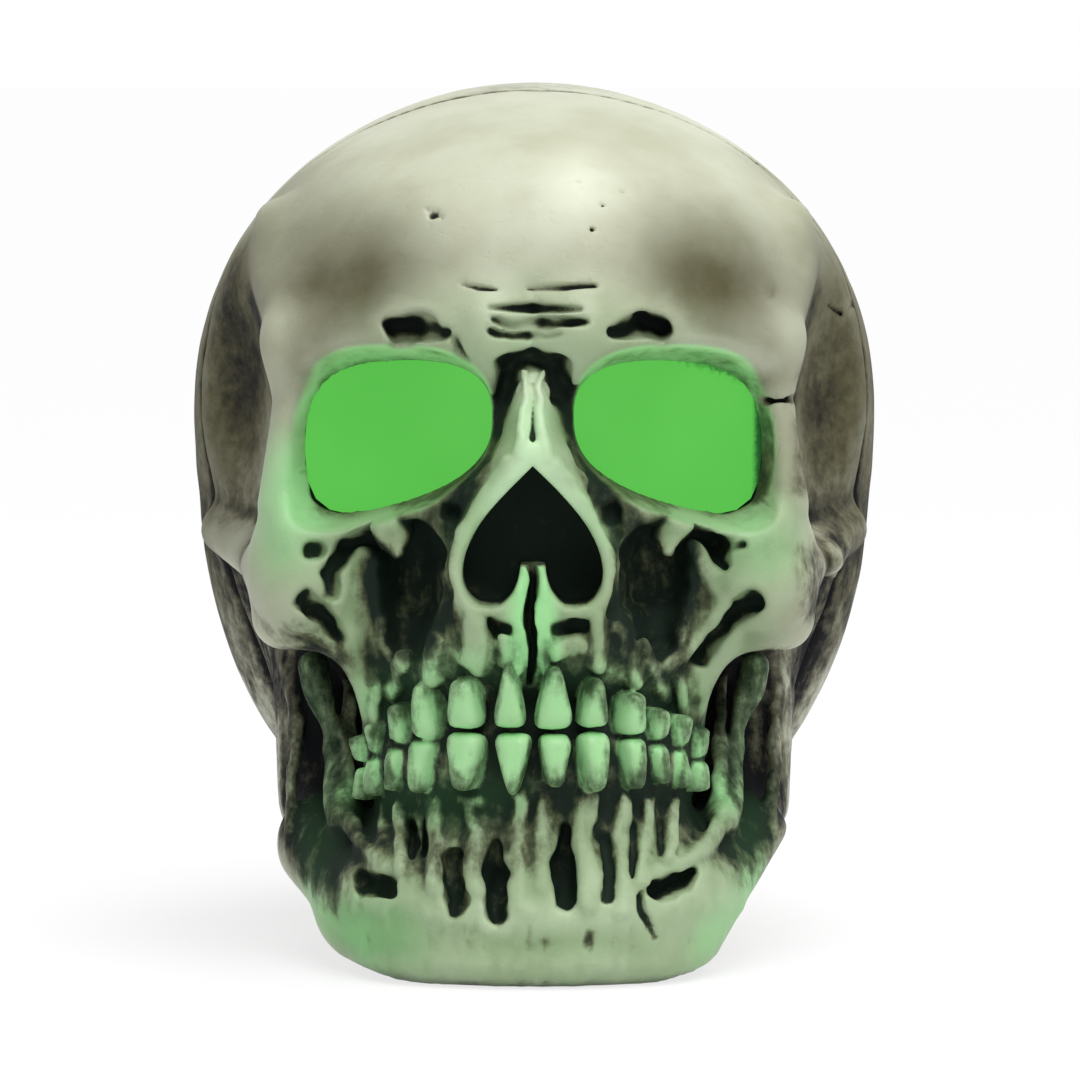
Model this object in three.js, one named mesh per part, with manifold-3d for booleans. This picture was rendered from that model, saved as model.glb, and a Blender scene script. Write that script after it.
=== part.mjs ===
// Light-up skull decoration: a moulded skull in two glued half shells, with green eye lenses,
// a lamp board behind them, and a base plate that holds three cells, a switch and a battery door.
// Millimetres, +Z up. The face looks along -Y, and the skull is symmetric in X but for its teeth.
import * as THREE from "three";
import { mergeVertices } from "three/addons/utils/BufferGeometryUtils.js";
import Module from "manifold-3d";

const wasm = await Module();
wasm.setup();

// The skull's overall size. Its moulding is drawn below for the size in DRAWN, and stretched from that
// one to this one.
const SKULL = { width: 135.6, depth: 148.4, height: 169.9 };
const DRAWN = { width: 135.6, depth: 148.4, height: 169.9 };
const STRETCH = [SKULL.width / DRAWN.width, SKULL.depth / DRAWN.depth, SKULL.height / DRAWN.height];

// Walls, fits and facets
const WALL = 2.8;
const CORE_DEPTH = 3.6;
const GAP = 0.3;
const ROUND_SIDES = 10;
const WIRE_SIDES = 5;
const LUMP_FACETS = { around: 6, along: 4 };
const FINE_BALL = { faceRings: 21, rearRings: 6, meridians: 42 };
const COARSE_BALL = { faceRings: 10, rearRings: 6, meridians: 24 };

// The outer skin is drawn this far out, so that its facets lie about the smooth surface
const FACET_SAG = 0.4;

// How far a cutter runs past what it cuts
const OVERRUN = 1;

// Front and rear shells meet in this plane
const PARTING_Y = -6;

// Teeth stand on a parabolic arch. Each has its place across the mouth, minus to the left, then its
// width and height at the biting edge and at the neck.
const ARCH = { front: -73.2, sweep: 24, halfWidth: 31 };
const TOOTH = { depth: 9, bevel: 0.9 };
const UPPER_TEETH = [
  { x: -31.4, bite: [3.9, 40.4], neck: [2.4, 45.6] },
  { x: -28.6, bite: [4.3, 42.4], neck: [2.6, 48.6] },
  { x: -24.2, bite: [4.5, 45.2], neck: [2.6, 52.8] },
  { x: -19.3, bite: [6.2, 46.8], neck: [3, 57] },
  { x: -12.2, bite: [7.3, 49.2], neck: [3.9, 59.2] },
  { x: -4.6, bite: [6.4, 49.8], neck: [3, 61.4] },
  { x: 3.8, bite: [7.4, 49.8], neck: [3.2, 61.4] },
  { x: 10.8, bite: [6.3, 49.3], neck: [3.2, 59.2] },
  { x: 17.9, bite: [6, 47.8], neck: [3.2, 56.4] },
  { x: 22.8, bite: [4.3, 46], neck: [2.2, 52] },
  { x: 26.8, bite: [4.1, 44.2], neck: [2.2, 50.4] },
  { x: 30.2, bite: [4.5, 41.4], neck: [2.8, 47.6] },
];
const LOWER_TEETH = [
  { x: -31.2, bite: [3.5, 39.6], neck: [1.7, 33.2] },
  { x: -28.8, bite: [4.3, 41.8], neck: [1.7, 34.2] },
  { x: -25, bite: [4.9, 44], neck: [1.7, 35.8] },
  { x: -20.2, bite: [6.6, 46.2], neck: [2.4, 36.2] },
  { x: -12.4, bite: [8.3, 48.4], neck: [3.4, 37.2] },
  { x: -3.4, bite: [7.9, 48.9], neck: [1.6, 37.4] },
  { x: 4, bite: [6.4, 48.7], neck: [3, 38] },
  { x: 11.2, bite: [6.8, 48.4], neck: [2.8, 37.4] },
  { x: 18.2, bite: [5.6, 46.8], neck: [2.8, 37] },
  { x: 22.7, bite: [4.5, 45], neck: [2, 37.6] },
  { x: 26.6, bite: [4.3, 43.6], neck: [2.2, 36.2] },
  { x: 30.2, bite: [4.9, 41], neck: [2.8, 35] },
];

// The outside of the skull as smooth masses and hollows. Each is mirrored in X, joined to or cut
// from the ones before it, and melts into them over its blend length. A mass is an ellipsoid, or a
// limb along a path with a radius at each of its points.
const MASSES = [
  { form: "cranium", centre: [0, 8.4, 108], radii: [67, 65.8, 61.2], blend: 0 },
  { form: "temporal mass", centre: [0, 10, 88], radii: [66, 36, 78], blend: 6 },
  { form: "occiput", centre: [0, 12, 82], radii: [60, 60, 44], blend: 8 },
  { form: "frontal bone", centre: [0, -14, 124.5], radii: [58.5, 51.5, 39], blend: 8 },
  { form: "middle of the face", centre: [0, -38, 82], radii: [36, 32, 44], blend: 8 },
  { form: "upper jaw", centre: [0, -41, 66], radii: [32, 29, 18], blend: 6 },
  { form: "tooth bed", centre: [0, ARCH.front + 35.2, 42], radii: [ARCH.halfWidth + 2, 28.5, 20], blend: 4 },
  { form: "lower bed", centre: [0, ARCH.front + 33.2, 28], radii: [ARCH.halfWidth, 27, 14], blend: 4 },
  { form: "chin", centre: [0, -46, 15], radii: [38, 25, 17], blend: 6 },
  { form: "chin foot", centre: [0, -48, 5], radii: [33, 23, 7], blend: 4 },
  {
    form: "jaw body",
    path: [[18, -52, 15], [31, -42, 15], [39.5, -26, 22.5]],
    radius: [15, 10.5, 10.3],
    blend: 5,
  },
  { form: "jaw branch", path: [[39.5, -14, 30], [43, -8, 70]], radius: [10.5, 9], blend: 4 },
  {
    form: "coronoid ridge",
    path: [[42.5, -27, 57], [40, -31, 42], [36, -42, 29]],
    radius: [3, 3, 3.5],
    blend: 3,
  },
  { form: "brow", path: [[9, -62, 123], [45, -47, 120]], radius: [8, 6], blend: 6 },
  {
    form: "outer eye rim",
    path: [[46, -46, 121], [45.4, -45, 109], [47.5, -46, 90]],
    radius: [4.6, 4.5, 5],
    blend: 4,
  },
  {
    form: "temple line",
    path: [[45, -43, 120], [49.5, -34, 131], [50, -24, 143]],
    radius: [4.5, 4, 3],
    blend: 6,
  },
  { form: "lower eye rim", path: [[44, -51, 86], [14, -62, 95]], radius: [5.5, 4], blend: 4 },
  { form: "cheekbone", centre: [42, -45, 75], radii: [12, 13, 12], blend: 5 },
  { form: "cheek corner", path: [[47, -43, 82], [48, -41, 68]], radius: [6.5, 5], blend: 4 },
  { form: "cheek edge", path: [[48, -42, 66.5], [37, -48, 65]], radius: [4.4, 4.4], blend: 3 },
  { form: "cheek arch", path: [[51, -38, 78], [61, -6, 82]], radius: [5, 4.5], blend: 4 },
  {
    form: "cheek pillar",
    path: [[34, -48, 66], [31, -48, 56], [29.5, -44, 44]],
    radius: [5.5, 4, 2.5],
    blend: 4,
  },
  { form: "nose bridge", path: [[0, -62, 116], [0, -68.6, 100]], radius: [3, 5], blend: 4 },
  { form: "nose rim", path: [[3, -67, 97], [13, -64, 76]], radius: [4.6, 5], blend: 5 },
  { form: "nose sill", path: [[12, -64, 76], [0, -66, 68]], radius: [5, 5], blend: 5 },
];
const HOLLOWS = [
  { form: "temple", centre: [63.5, -33, 107], radii: [13, 19, 29], blend: 6 },
  { form: "jaw hollow", centre: [43.5, -54, 46], radii: [10.5, 26, 15.5], blend: 3 },
  { form: "arch hollow", centre: [57, -24, 60], radii: [5, 12, 12], blend: 4 },
];
// The skins start as a ball of this radius round this point. Its points are drawn in along its radii,
// then evened out over so many rounds, each by a share of the way to the middle of its neighbours.
const BALL = { centre: [0, -6, 80], radius: 140, touching: 0.05, rounds: 24, share: 0.5 };

// Pits and roots of the face, on both sides: place on the face and half size in front view, depth of
// a pit or height of a root, and turn in degrees
const PITS = [
  { form: "cheek hollow", at: [24, 74], half: [7.6, 12.5], depth: 14, turn: 6 },
  { form: "cheek slot", at: [38.5, 68.5], half: [5.5, 2.4], depth: 5, turn: -45 },
  { form: "brow slot", at: [20.5, 123.6], half: [5.2, 2.5], depth: 5.5, turn: 0 },
  { form: "groove beside the nose bridge", at: [9, 104], half: [2.2, 12], depth: 5, turn: -24 },
  { form: "front root pit", at: [6.3, 23], half: [2.6, 7], depth: 6, turn: 0 },
  { form: "chin opening", at: [27.6, 19.3], half: [5, 2.4], depth: 6, turn: -5 },
];
const ROOTS = [
  { form: "upper root 1", at: [10.8, 65.5], half: [2.6, 5.5], depth: 1.9, turn: 0 },
  { form: "upper root 2", at: [17.7, 62.5], half: [2.4, 6], depth: 1.8, turn: -12 },
  { form: "upper root 3", at: [23.7, 58.5], half: [2.2, 6], depth: 1.7, turn: -14 },
  { form: "lower root 1", at: [2, 27], half: [2, 9.5], depth: 1.6, turn: 0 },
  { form: "lower root 2", at: [10.3, 27.5], half: [2, 9.5], depth: 1.6, turn: 0 },
  { form: "lower root 3", at: [17.6, 27], half: [2, 9], depth: 1.5, turn: 0 },
  { form: "lower root 4", at: [24.6, 28.5], half: [1.9, 6.5], depth: 1.3, turn: 0 },
];
// Round ridges along a path in front view, raised from the face on both sides
const RIDGES = [
  { form: "cheek strut", path: [[31, 82], [34.4, 75], [35, 69], [29.5, 60]], radius: 2, height: 0.6 },
  {
    form: "nose wing",
    path: [[5.5, 97.5], [10.4, 90], [14, 81.5], [14.4, 76], [11, 71.6], [5, 72]],
    radius: 1.7,
    height: 1,
  },
];
const RIDGE_STEP = 8;

// Eye openings: a drooping super-ellipse in a plane that is turned outwards, flared to the front
const EYE = {
  centre: [25.4, -50, 103.7],
  halfWidth: 17.4,
  halfHeight: 12.5,
  squareness: 2.7,
  droop: 0.17,
  droopChange: 0.13,
  flare: 0.3,
  turn: THREE.MathUtils.degToRad(15),
  sides: 22,
};
const COLLAR_DEPTH = 26;
const LENS = { thick: 2, flange: 1.4 };

// Nose opening: an upside-down heart, with the two bars of the septum in front of it
const NOSE = { top: 98.5, widest: 78.5, halfWidth: 13.1, bottom: 72, back: -57 };
const SEPTUM = { path: [[1.6, -69, 81], [2.3, -70.6, 74], [3.1, -70.6, 66], [2.6, -69, 60]], radius: 1.2 };

// Lamp board on two posts behind the nose bridge, with a lamp behind each eye
const BOARD = { beyondLamps: 12.8, height: 25, corner: 3, thick: 1.6, behindEyes: 24 };
const POST = { spacing: 16, radius: 3.2 };
const LED = { radius: 2.5, flangeRadius: 2.9, flangeThick: 1, length: 8.6 };
const RESISTOR = { radius: 1.2, length: 6.5, x: 16, waist: 0.85, end: 0.22 };

// Self-tapping screws, all of one size
const SCREW = { headRadius: 2.6, topRadius: 2.1, headThick: 1, radius: 1.2, length: 9 };
const SCREW_SLOT = { width: 0.8, depth: 0.6 };
const SCREW_SINK = 0.7;

// Base plate, flush with the underside of the shells
const BASE = { halfWidth: 24.2, front: -46, behindDoor: 5.4, corner: 9, thick: 2.8 };
const LEDGE = { inset: 4, outset: 3, thick: 2.4 };
const BOSS = { radius: 3.4, height: 9, inX: 4.5, inFront: 5.5, inBack: 5.5 };

// The plinth under the skull stands this far outside the base plate. A throat, drawn with the face,
// joins its room with the one in the head.
const PLINTH = { margin: 4.5, top: 52 };
const THROAT = { low: [-20, -46, 40], high: [20, 30, 66] };

// Cells, their bay and contacts
const CELL = { radius: 5.25, length: 44.5, nubRadius: 1.9, nubLength: 1, chamfer: 0.6, pitch: 11.2 };
const BAY = { front: -26.5, wall: 2, side: 0.5, roof: 1.6 };
const SPRING = { length: 5, wire: 0.45, rootRadius: 3.8, tipRadius: 2.2, turns: 3, steps: 8, sides: 4 };
const CONTACT = { thick: 0.5, width: 8, bottom: 3.6, tab: 3 };

// Battery door: pivot stubs at its front edge, a captive screw at its rear tab
const DOOR = { overlap: 1, thick: 2, lift: 0.4, tabHalfWidth: 6, tabLength: 9 };
const DOOR_STUB = { radius: 0.7, length: 1.6 };
const DOOR_SCREW_SWING = 0.9;
const DOOR_BOSS = { radius: 3.6, top: 12 };

// Slide switch in front of the bay
const SWITCH = { y: -37, width: 14, depth: 7.4, height: 7 };
const SLIDER = { width: 4, depth: 2.6, tip: 0.7, carriageWidth: 6, carriageDepth: 4.6, carriageHeight: 2 };
const SWITCH_TRAVEL = 3;
const SWITCH_PINS = [-1, 4];
const SWITCH_PIN = { halfWidth: 0.4, halfDepth: 0.6, length: 2.5 };

// Leads: how far they stand off their ends, and the bends between
const WIRE = { radius: 0.75, step: 5, spread: 6, standOff: 5.5, loop: 8, slack: 5, drop: 40, bend: 20 };
const NEGATIVE_RUN = { forwards: 25, upwards: 24 };

// Places that follow from the eyes
const [LAMP_X, EYE_Y, LAMP_Z] = stretched(EYE.centre);
const BOARD_Y = EYE_Y + BOARD.behindEyes;

// Places that follow from the cells and the bay round them
const BAY_HALF_WIDTH = CELL.pitch + CELL.radius + BAY.side;
const BAY_LENGTH = CELL.length + SPRING.length + 2 * CONTACT.thick + 2 * GAP;
const BAY_BACK = BAY.front + BAY_LENGTH;
const DOOR_TOP = DOOR.lift + DOOR.thick;
const DOOR_SEAT = DOOR_TOP + GAP;
const CELL_Z = DOOR_SEAT + BAY.side + CELL.radius;
const BAY_TOP = CELL_Z + CELL.radius + BAY.side;
const DOOR_HALF_WIDTH = BAY_HALF_WIDTH + DOOR.overlap;
const HINGE = { y: BAY.front - DOOR.overlap + DOOR.thick / 2, z: DOOR.lift + DOOR.thick / 2 };
const DOOR_BACK = BAY_BACK + DOOR.overlap;
const DOOR_SCREW_Y = DOOR_BACK + DOOR.tabLength / 2;
const BASE_BACK = DOOR_BACK + DOOR.tabLength + BASE.behindDoor;
const COUNTERBORE = SCREW.headRadius + GAP;

// Finishes
const finish = (color, roughness, metalness = 0) =>
  new THREE.MeshStandardMaterial({ color, roughness, metalness });
const BONE = finish(0xc9cbb4, 0.5);
const GREEN_LENS = finish(0x58bc4a, 0.35);
const BLACK_PLASTIC = finish(0x1d1d1c, 0.55);
const BOARD_TAN = finish(0xb08a4e, 0.6);
const STEEL = finish(0xb9bbbd, 0.35, 0.9);
const CELL_JACKET = finish(0x3a3f46, 0.4, 0.3);
const RESISTOR_TAN = finish(0xcdb58a, 0.6);
const WIRE_RED = finish(0xb0201c, 0.5);
const WIRE_BLACK = finish(0x141414, 0.5);
const WIRE_WHITE = finish(0xe4e4de, 0.5);

// Solids: three.js geometry to manifold and back
function solidOf(geometry) {
  const bare = geometry.index ? geometry.toNonIndexed() : geometry.clone();
  bare.deleteAttribute("normal");
  bare.deleteAttribute("uv");
  const merged = mergeVertices(bare, 1e-4);
  return new wasm.Manifold(
    new wasm.Mesh({
      numProp: 3,
      vertProperties: merged.attributes.position.array,
      triVerts: new Uint32Array(merged.index.array),
    }),
  );
}

// From the drawn size to the skull's own
function stretched(place) {
  return place.map((v, i) => v * STRETCH[i]);
}

const moulded = (geometry) => solidOf(geometry.scale(...STRETCH));

function geometryOf(solid) {
  const mesh = solid.getMesh();
  const geometry = new THREE.BufferGeometry();
  geometry.setAttribute("position", new THREE.BufferAttribute(mesh.vertProperties, 3));
  geometry.setIndex(new THREE.BufferAttribute(mesh.triVerts, 1));
  geometry.computeVertexNormals();
  return geometry;
}

const joined = (...solids) => solids.reduce((a, b) => a.add(b));
const without = (solid, ...cutters) => cutters.reduce((a, b) => a.subtract(b), solid);

// A box between two corners
function block(low, high) {
  const size = high.map((h, i) => h - low[i]);
  const geometry = new THREE.BoxGeometry(...size);
  geometry.translate(...low.map((l, i) => l + size[i] / 2));
  return solidOf(geometry);
}

// A round bar along X, Y or Z, from one place on its axis to another
function bar(axis, centre, radius, from, to) {
  const geometry = new THREE.CylinderGeometry(radius, radius, to - from, ROUND_SIDES);
  if (axis === "x") geometry.rotateZ(-Math.PI / 2);
  if (axis === "z") geometry.rotateX(Math.PI / 2);
  const middle = (from + to) / 2;
  const [a, b] = centre;
  const place = { x: [middle, a, b], y: [a, middle, b], z: [a, b, middle] }[axis];
  geometry.translate(...place);
  return solidOf(geometry);
}

// A plane outline extruded upwards between two heights
function slab(shape, bottom, top) {
  const geometry = new THREE.ExtrudeGeometry(shape, {
    depth: top - bottom,
    bevelEnabled: false,
    curveSegments: 4,
  });
  geometry.translate(0, 0, bottom);
  return solidOf(geometry);
}

function roundedRectangle(left, right, front, back, corner) {
  const shape = new THREE.Shape();
  shape.absarc(right - corner, front + corner, corner, -Math.PI / 2, 0);
  shape.absarc(right - corner, back - corner, corner, 0, Math.PI / 2);
  shape.absarc(left + corner, back - corner, corner, Math.PI / 2, Math.PI);
  shape.absarc(left + corner, front + corner, corner, Math.PI, 1.5 * Math.PI);
  return shape;
}

// Distance from a point to the skull's surface, negative inside it
function smoothMin(a, b, blend) {
  const nearness = Math.max(blend - Math.abs(a - b), 0);
  return Math.min(a, b) - (blend > 0 ? nearness ** 2 / (4 * blend) : 0);
}

function ellipsoidDistance(p, { centre, radii }) {
  const x = (p.x - centre[0]) / radii[0];
  const y = (p.y - centre[1]) / radii[1];
  const z = (p.z - centre[2]) / radii[2];
  const near = Math.hypot(x, y, z);
  const slope = Math.hypot(x / radii[0], y / radii[1], z / radii[2]);
  return slope === 0 ? -Math.min(...radii) : (near * (near - 1)) / slope;
}

function linkDistance(p, from, to, nearRadius, farRadius) {
  const along = to.map((v, i) => v - from[i]);
  const offset = [p.x - from[0], p.y - from[1], p.z - from[2]];
  const dot = along[0] * offset[0] + along[1] * offset[1] + along[2] * offset[2];
  const t = THREE.MathUtils.clamp(dot / Math.hypot(...along) ** 2, 0, 1);
  const reach = Math.hypot(...offset.map((v, i) => v - along[i] * t));
  return reach - THREE.MathUtils.lerp(nearRadius, farRadius, t);
}

function limbDistance(p, { path, radius }) {
  let nearest = Infinity;
  for (let i = 1; i < path.length; i++) {
    nearest = Math.min(nearest, linkDistance(p, path[i - 1], path[i], radius[i - 1], radius[i]));
  }
  return nearest;
}

const formDistance = (p, form) => (form.radii ? ellipsoidDistance(p, form) : limbDistance(p, form));

function skullDistance(point) {
  const p = { x: Math.abs(point.x), y: point.y, z: point.z };
  let distance = Infinity;
  for (const mass of MASSES) distance = smoothMin(distance, formDistance(p, mass), mass.blend);
  for (const hollow of HOLLOWS) distance = -smoothMin(-distance, formDistance(p, hollow), hollow.blend);
  return distance;
}

// How far forward the face stands at a place in front view
function faceY(x, z) {
  const point = { x, y: -BALL.radius, z };
  let left = Infinity;
  while (left > BALL.touching && point.y < BALL.radius) {
    left = skullDistance(point);
    point.y += left / 2;
  }
  return point.y;
}

// A ball with its poles at the face and at the back of the head, finer over the face
function ball({ faceRings, rearRings, meridians }) {
  const quarter = Math.PI / 2;
  const profile = [];
  for (let i = 0; i <= faceRings + rearRings; i++) {
    const turn = i < faceRings ? i / faceRings : 1 + (i - faceRings) / rearRings;
    profile.push(new THREE.Vector2(Math.sin(turn * quarter), -Math.cos(turn * quarter)));
  }
  const geometry = new THREE.LatheGeometry(profile, meridians);
  geometry.deleteAttribute("normal");
  geometry.deleteAttribute("uv");
  geometry.scale(BALL.radius, BALL.radius, BALL.radius);
  geometry.translate(...BALL.centre);
  return mergeVertices(geometry, 1e-4);
}

// Moves a point straight in or out towards the skin at a depth under the surface
function drawIn(point, depth) {
  const step = 0.01;
  const here = skullDistance(point) + depth;
  const slope = new THREE.Vector3();
  for (const axis of ["x", "y", "z"]) {
    const aside = point.clone();
    aside[axis] += step;
    slope[axis] = (skullDistance(aside) + depth - here) / step;
  }
  return point.addScaledVector(slope, -here / slope.lengthSq());
}

// The closed skin at a depth under the surface: a ball that is drawn in along its radii until it
// touches, then evened out on the surface, each point towards the middle of its neighbours along the
// ball's rings and meridians, which are the sides at the first corner of each triangle
function skin(depth, fineness) {
  const geometry = ball(fineness);
  const position = geometry.attributes.position;
  const corners = geometry.index.array;
  const centre = new THREE.Vector3(...BALL.centre);
  const points = [];
  const neighbours = [];
  for (let i = 0; i < position.count; i++) {
    const point = new THREE.Vector3().fromBufferAttribute(position, i);
    const inwards = centre.clone().sub(point).normalize();
    let left = Infinity;
    while (left > BALL.touching) {
      left = skullDistance(point) + depth;
      point.addScaledVector(inwards, left / 2);
    }
    points.push(point);
    neighbours.push(new Set());
  }
  for (let i = 0; i < corners.length; i += 3) {
    const [first, ...others] = corners.slice(i, i + 3);
    for (const other of others) {
      neighbours[first].add(other);
      neighbours[other].add(first);
    }
  }
  for (let round = 0; round < BALL.rounds; round++) {
    const means = neighbours.map((set) => {
      const mean = new THREE.Vector3();
      for (const i of set) mean.addScaledVector(points[i], 1 / set.size);
      return mean;
    });
    points.forEach((point, i) => drawIn(point.lerp(means[i], BALL.share), depth));
  }
  points.forEach((point, i) => position.setXYZ(i, ...drawIn(point, depth).toArray()));
  return moulded(geometry);
}

// Half spaces that trim the skins
const FAR = 200;
const BELOW_GROUND = block([-FAR, -FAR, -FAR], [FAR, FAR, 0]);
const ahead = (y) => block([-FAR, -FAR, -FAR], [FAR, y, FAR]);
const behind = (y) => block([-FAR, y, -FAR], [FAR, FAR, FAR]);

// Eye outline, grown outwards by a margin
function eyeOutline(margin) {
  const spread = (v) => Math.sign(v) * Math.abs(v) ** (2 / EYE.squareness);
  const points = [];
  for (let i = 0; i < EYE.sides; i++) {
    const angle = (2 * Math.PI * i) / EYE.sides;
    const x = (EYE.halfWidth + margin) * spread(Math.cos(angle));
    const rise = (EYE.halfHeight + margin) * spread(Math.sin(angle));
    const droop = EYE.droop - EYE.droopChange * spread(Math.sin(angle));
    points.push(new THREE.Vector2(x, rise - droop * x));
  }
  return new THREE.Shape(points);
}

// A plug of the eye's outline between two depths behind the eye plane, flared in front of that plane,
// in the eye's own frame: +X outwards, +Y into the skull
function eyePlug(margin, near, far) {
  const geometry = new THREE.ExtrudeGeometry(eyeOutline(margin), { depth: far - near, bevelEnabled: false });
  geometry.rotateX(Math.PI / 2);
  geometry.translate(0, far, 0);
  const position = geometry.attributes.position;
  for (let i = 0; i < position.count; i++) {
    const [x, y, z] = new THREE.Vector3().fromBufferAttribute(position, i).toArray();
    const flare = EYE.flare * Math.max(-y, 0);
    const wider = x * (1 + flare / EYE.halfWidth);
    const rise = (z + EYE.droop * x) * (1 + flare / EYE.halfHeight);
    position.setXYZ(i, wider, y, rise - EYE.droop * wider);
  }
  return geometry;
}

// The frame of the right eye (side 1) or the left eye (side -1). The left one is mirrored.
function eyeMatrix(side) {
  const [x, y, z] = EYE.centre;
  const turned = new THREE.Matrix4().makeRotationZ(EYE.turn).setPosition(x, y, z);
  return new THREE.Matrix4().makeScale(side, 1, 1).multiply(turned);
}

function placedEyePlug(side, margin, near, far) {
  const geometry = eyePlug(margin, near, far).applyMatrix4(eyeMatrix(side));
  const position = geometry.attributes.position;
  if (side < 0) {
    for (let i = 0; i < position.count; i += 3) {
      const second = new THREE.Vector3().fromBufferAttribute(position, i + 1);
      const third = new THREE.Vector3().fromBufferAttribute(position, i + 2);
      position.setXYZ(i + 1, third.x, third.y, third.z);
      position.setXYZ(i + 2, second.x, second.y, second.z);
    }
  }
  return moulded(geometry);
}

// The nose opening, grown by a margin, straight back to a depth
function noseOpening(margin) {
  const { top, widest, halfWidth, bottom, back } = NOSE;
  const side = halfWidth + margin;
  const heart = new THREE.Shape();
  heart.moveTo(0, top + margin);
  const shoulder = top + margin - side / 2;
  heart.bezierCurveTo(side / 2, shoulder, side, widest + side / 2, side, widest);
  heart.quadraticCurveTo(side, bottom - margin, side / 2, bottom - margin);
  heart.quadraticCurveTo(side / 6, bottom - margin, 0, bottom + side / 6);
  heart.quadraticCurveTo(-side / 6, bottom - margin, -side / 2, bottom - margin);
  heart.quadraticCurveTo(-side, bottom - margin, -side, widest);
  heart.bezierCurveTo(-side, widest + side / 2, -side / 2, shoulder, 0, top + margin);
  const depth = back + margin + FAR;
  const geometry = new THREE.ExtrudeGeometry(heart, { depth, bevelEnabled: false, curveSegments: 4 });
  geometry.rotateX(Math.PI / 2);
  geometry.translate(0, back + margin, 0);
  return moulded(geometry);
}

// A pit or a root on one side of the face: an ellipsoid with its middle on the face
function lump({ at, half, depth, turn }, side) {
  const geometry = new THREE.SphereGeometry(1, LUMP_FACETS.around, LUMP_FACETS.along);
  geometry.scale(half[0], depth, half[1]);
  geometry.rotateY(side * THREE.MathUtils.degToRad(turn));
  geometry.translate(side * at[0], faceY(...at), at[1]);
  return moulded(geometry);
}

const lumps = (rows) => [-1, 1].flatMap((side) => rows.map((row) => lump(row, side)));

// A block that the core keeps clear of, so that there is a wall behind a pit
function backing({ at, half, depth, turn }, side) {
  const angle = THREE.MathUtils.degToRad(turn);
  const [across, up] = [Math.abs(Math.cos(angle)), Math.abs(Math.sin(angle))];
  const reachX = across * half[0] + up * half[1] + WALL;
  const reachZ = across * half[1] + up * half[0] + WALL;
  const [x, z] = [side * at[0], at[1]];
  const low = [x - reachX, -FAR, z - reachZ];
  const high = [x + reachX, faceY(...at) + depth + WALL, z + reachZ];
  return block(stretched(low), stretched(high));
}

// A round bar through points on one side of the face
function roundBar(points, radius, side) {
  const curve = new THREE.CatmullRomCurve3(points.map(([x, y, z]) => new THREE.Vector3(side * x, y, z)));
  return moulded(tube(curve, radius, WIRE_SIDES, Math.ceil(curve.getLength() / RIDGE_STEP)));
}

function ridge({ path, radius, height }, side) {
  const points = path.map(([x, z]) => [x, faceY(x, z) + radius - height, z]);
  return roundBar(points, radius, side);
}

// One tooth: a crown with bevelled edges, narrower at the neck, that stands square to the arch
function tooth({ x, bite, neck }) {
  const [biteWidth, biteHeight] = bite;
  const [neckWidth, neckHeight] = neck;
  const height = Math.abs(neckHeight - biteHeight);
  const crown = new THREE.Shape();
  crown.moveTo(-biteWidth / 2, 0);
  crown.lineTo(biteWidth / 2, 0);
  crown.lineTo(neckWidth / 2, height);
  crown.lineTo(-neckWidth / 2, height);
  const geometry = new THREE.ExtrudeGeometry(crown, {
    depth: TOOTH.depth - TOOTH.bevel,
    bevelThickness: TOOTH.bevel,
    bevelSize: TOOTH.bevel,
    bevelOffset: -TOOTH.bevel,
    bevelSegments: 1,
  });
  geometry.rotateX(Math.PI / 2);
  geometry.translate(0, TOOTH.depth, 0);
  if (neckHeight < biteHeight) geometry.rotateY(Math.PI);
  const share = x / ARCH.halfWidth;
  geometry.rotateZ(Math.atan((2 * ARCH.sweep * share) / ARCH.halfWidth));
  geometry.translate(x, ARCH.front + ARCH.sweep * share ** 2, biteHeight);
  return moulded(geometry);
}

// Screw places on the base plate
const BASE_SCREWS = [
  [-BASE.halfWidth + BOSS.inX, BASE.front + BOSS.inFront],
  [BASE.halfWidth - BOSS.inX, BASE.front + BOSS.inFront],
  [-BASE.halfWidth + BOSS.inX, BASE_BACK - BOSS.inBack],
  [BASE.halfWidth - BOSS.inX, BASE_BACK - BOSS.inBack],
];

const baseOutline = (margin) =>
  roundedRectangle(
    -BASE.halfWidth - margin,
    BASE.halfWidth + margin,
    BASE.front - margin,
    BASE_BACK + margin,
    BASE.corner + margin,
  );

// Screw places on the lamp board, one above the other behind the nose bridge
const BOARD_SCREWS = [
  [0, LAMP_Z - POST.spacing / 2],
  [0, LAMP_Z + POST.spacing / 2],
];

// The ledge round the base opening, with the bosses that take the base plate's screws
const LEDGE_BOTTOM = BASE.thick + GAP;
const LEDGE_TOP = LEDGE_BOTTOM + LEDGE.thick;
function baseSeat() {
  const ring = without(
    slab(baseOutline(LEDGE.outset), WALL / 2, LEDGE_TOP),
    slab(baseOutline(-LEDGE.inset), 0, LEDGE_TOP + GAP),
  );
  const bosses = BASE_SCREWS.map((place) =>
    bar("z", place, BOSS.radius, WALL / 2, LEDGE_BOTTOM + BOSS.height),
  );
  return joined(ring, ...bosses);
}

function baseCuts() {
  const opening = slab(baseOutline(GAP), -OVERRUN, LEDGE_BOTTOM);
  const deep = SCREW_SINK + SCREW.length + OVERRUN;
  const holes = BASE_SCREWS.map((place) => bar("z", place, SCREW.radius + GAP, 0, deep));
  return joined(opening, ...holes);
}

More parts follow.
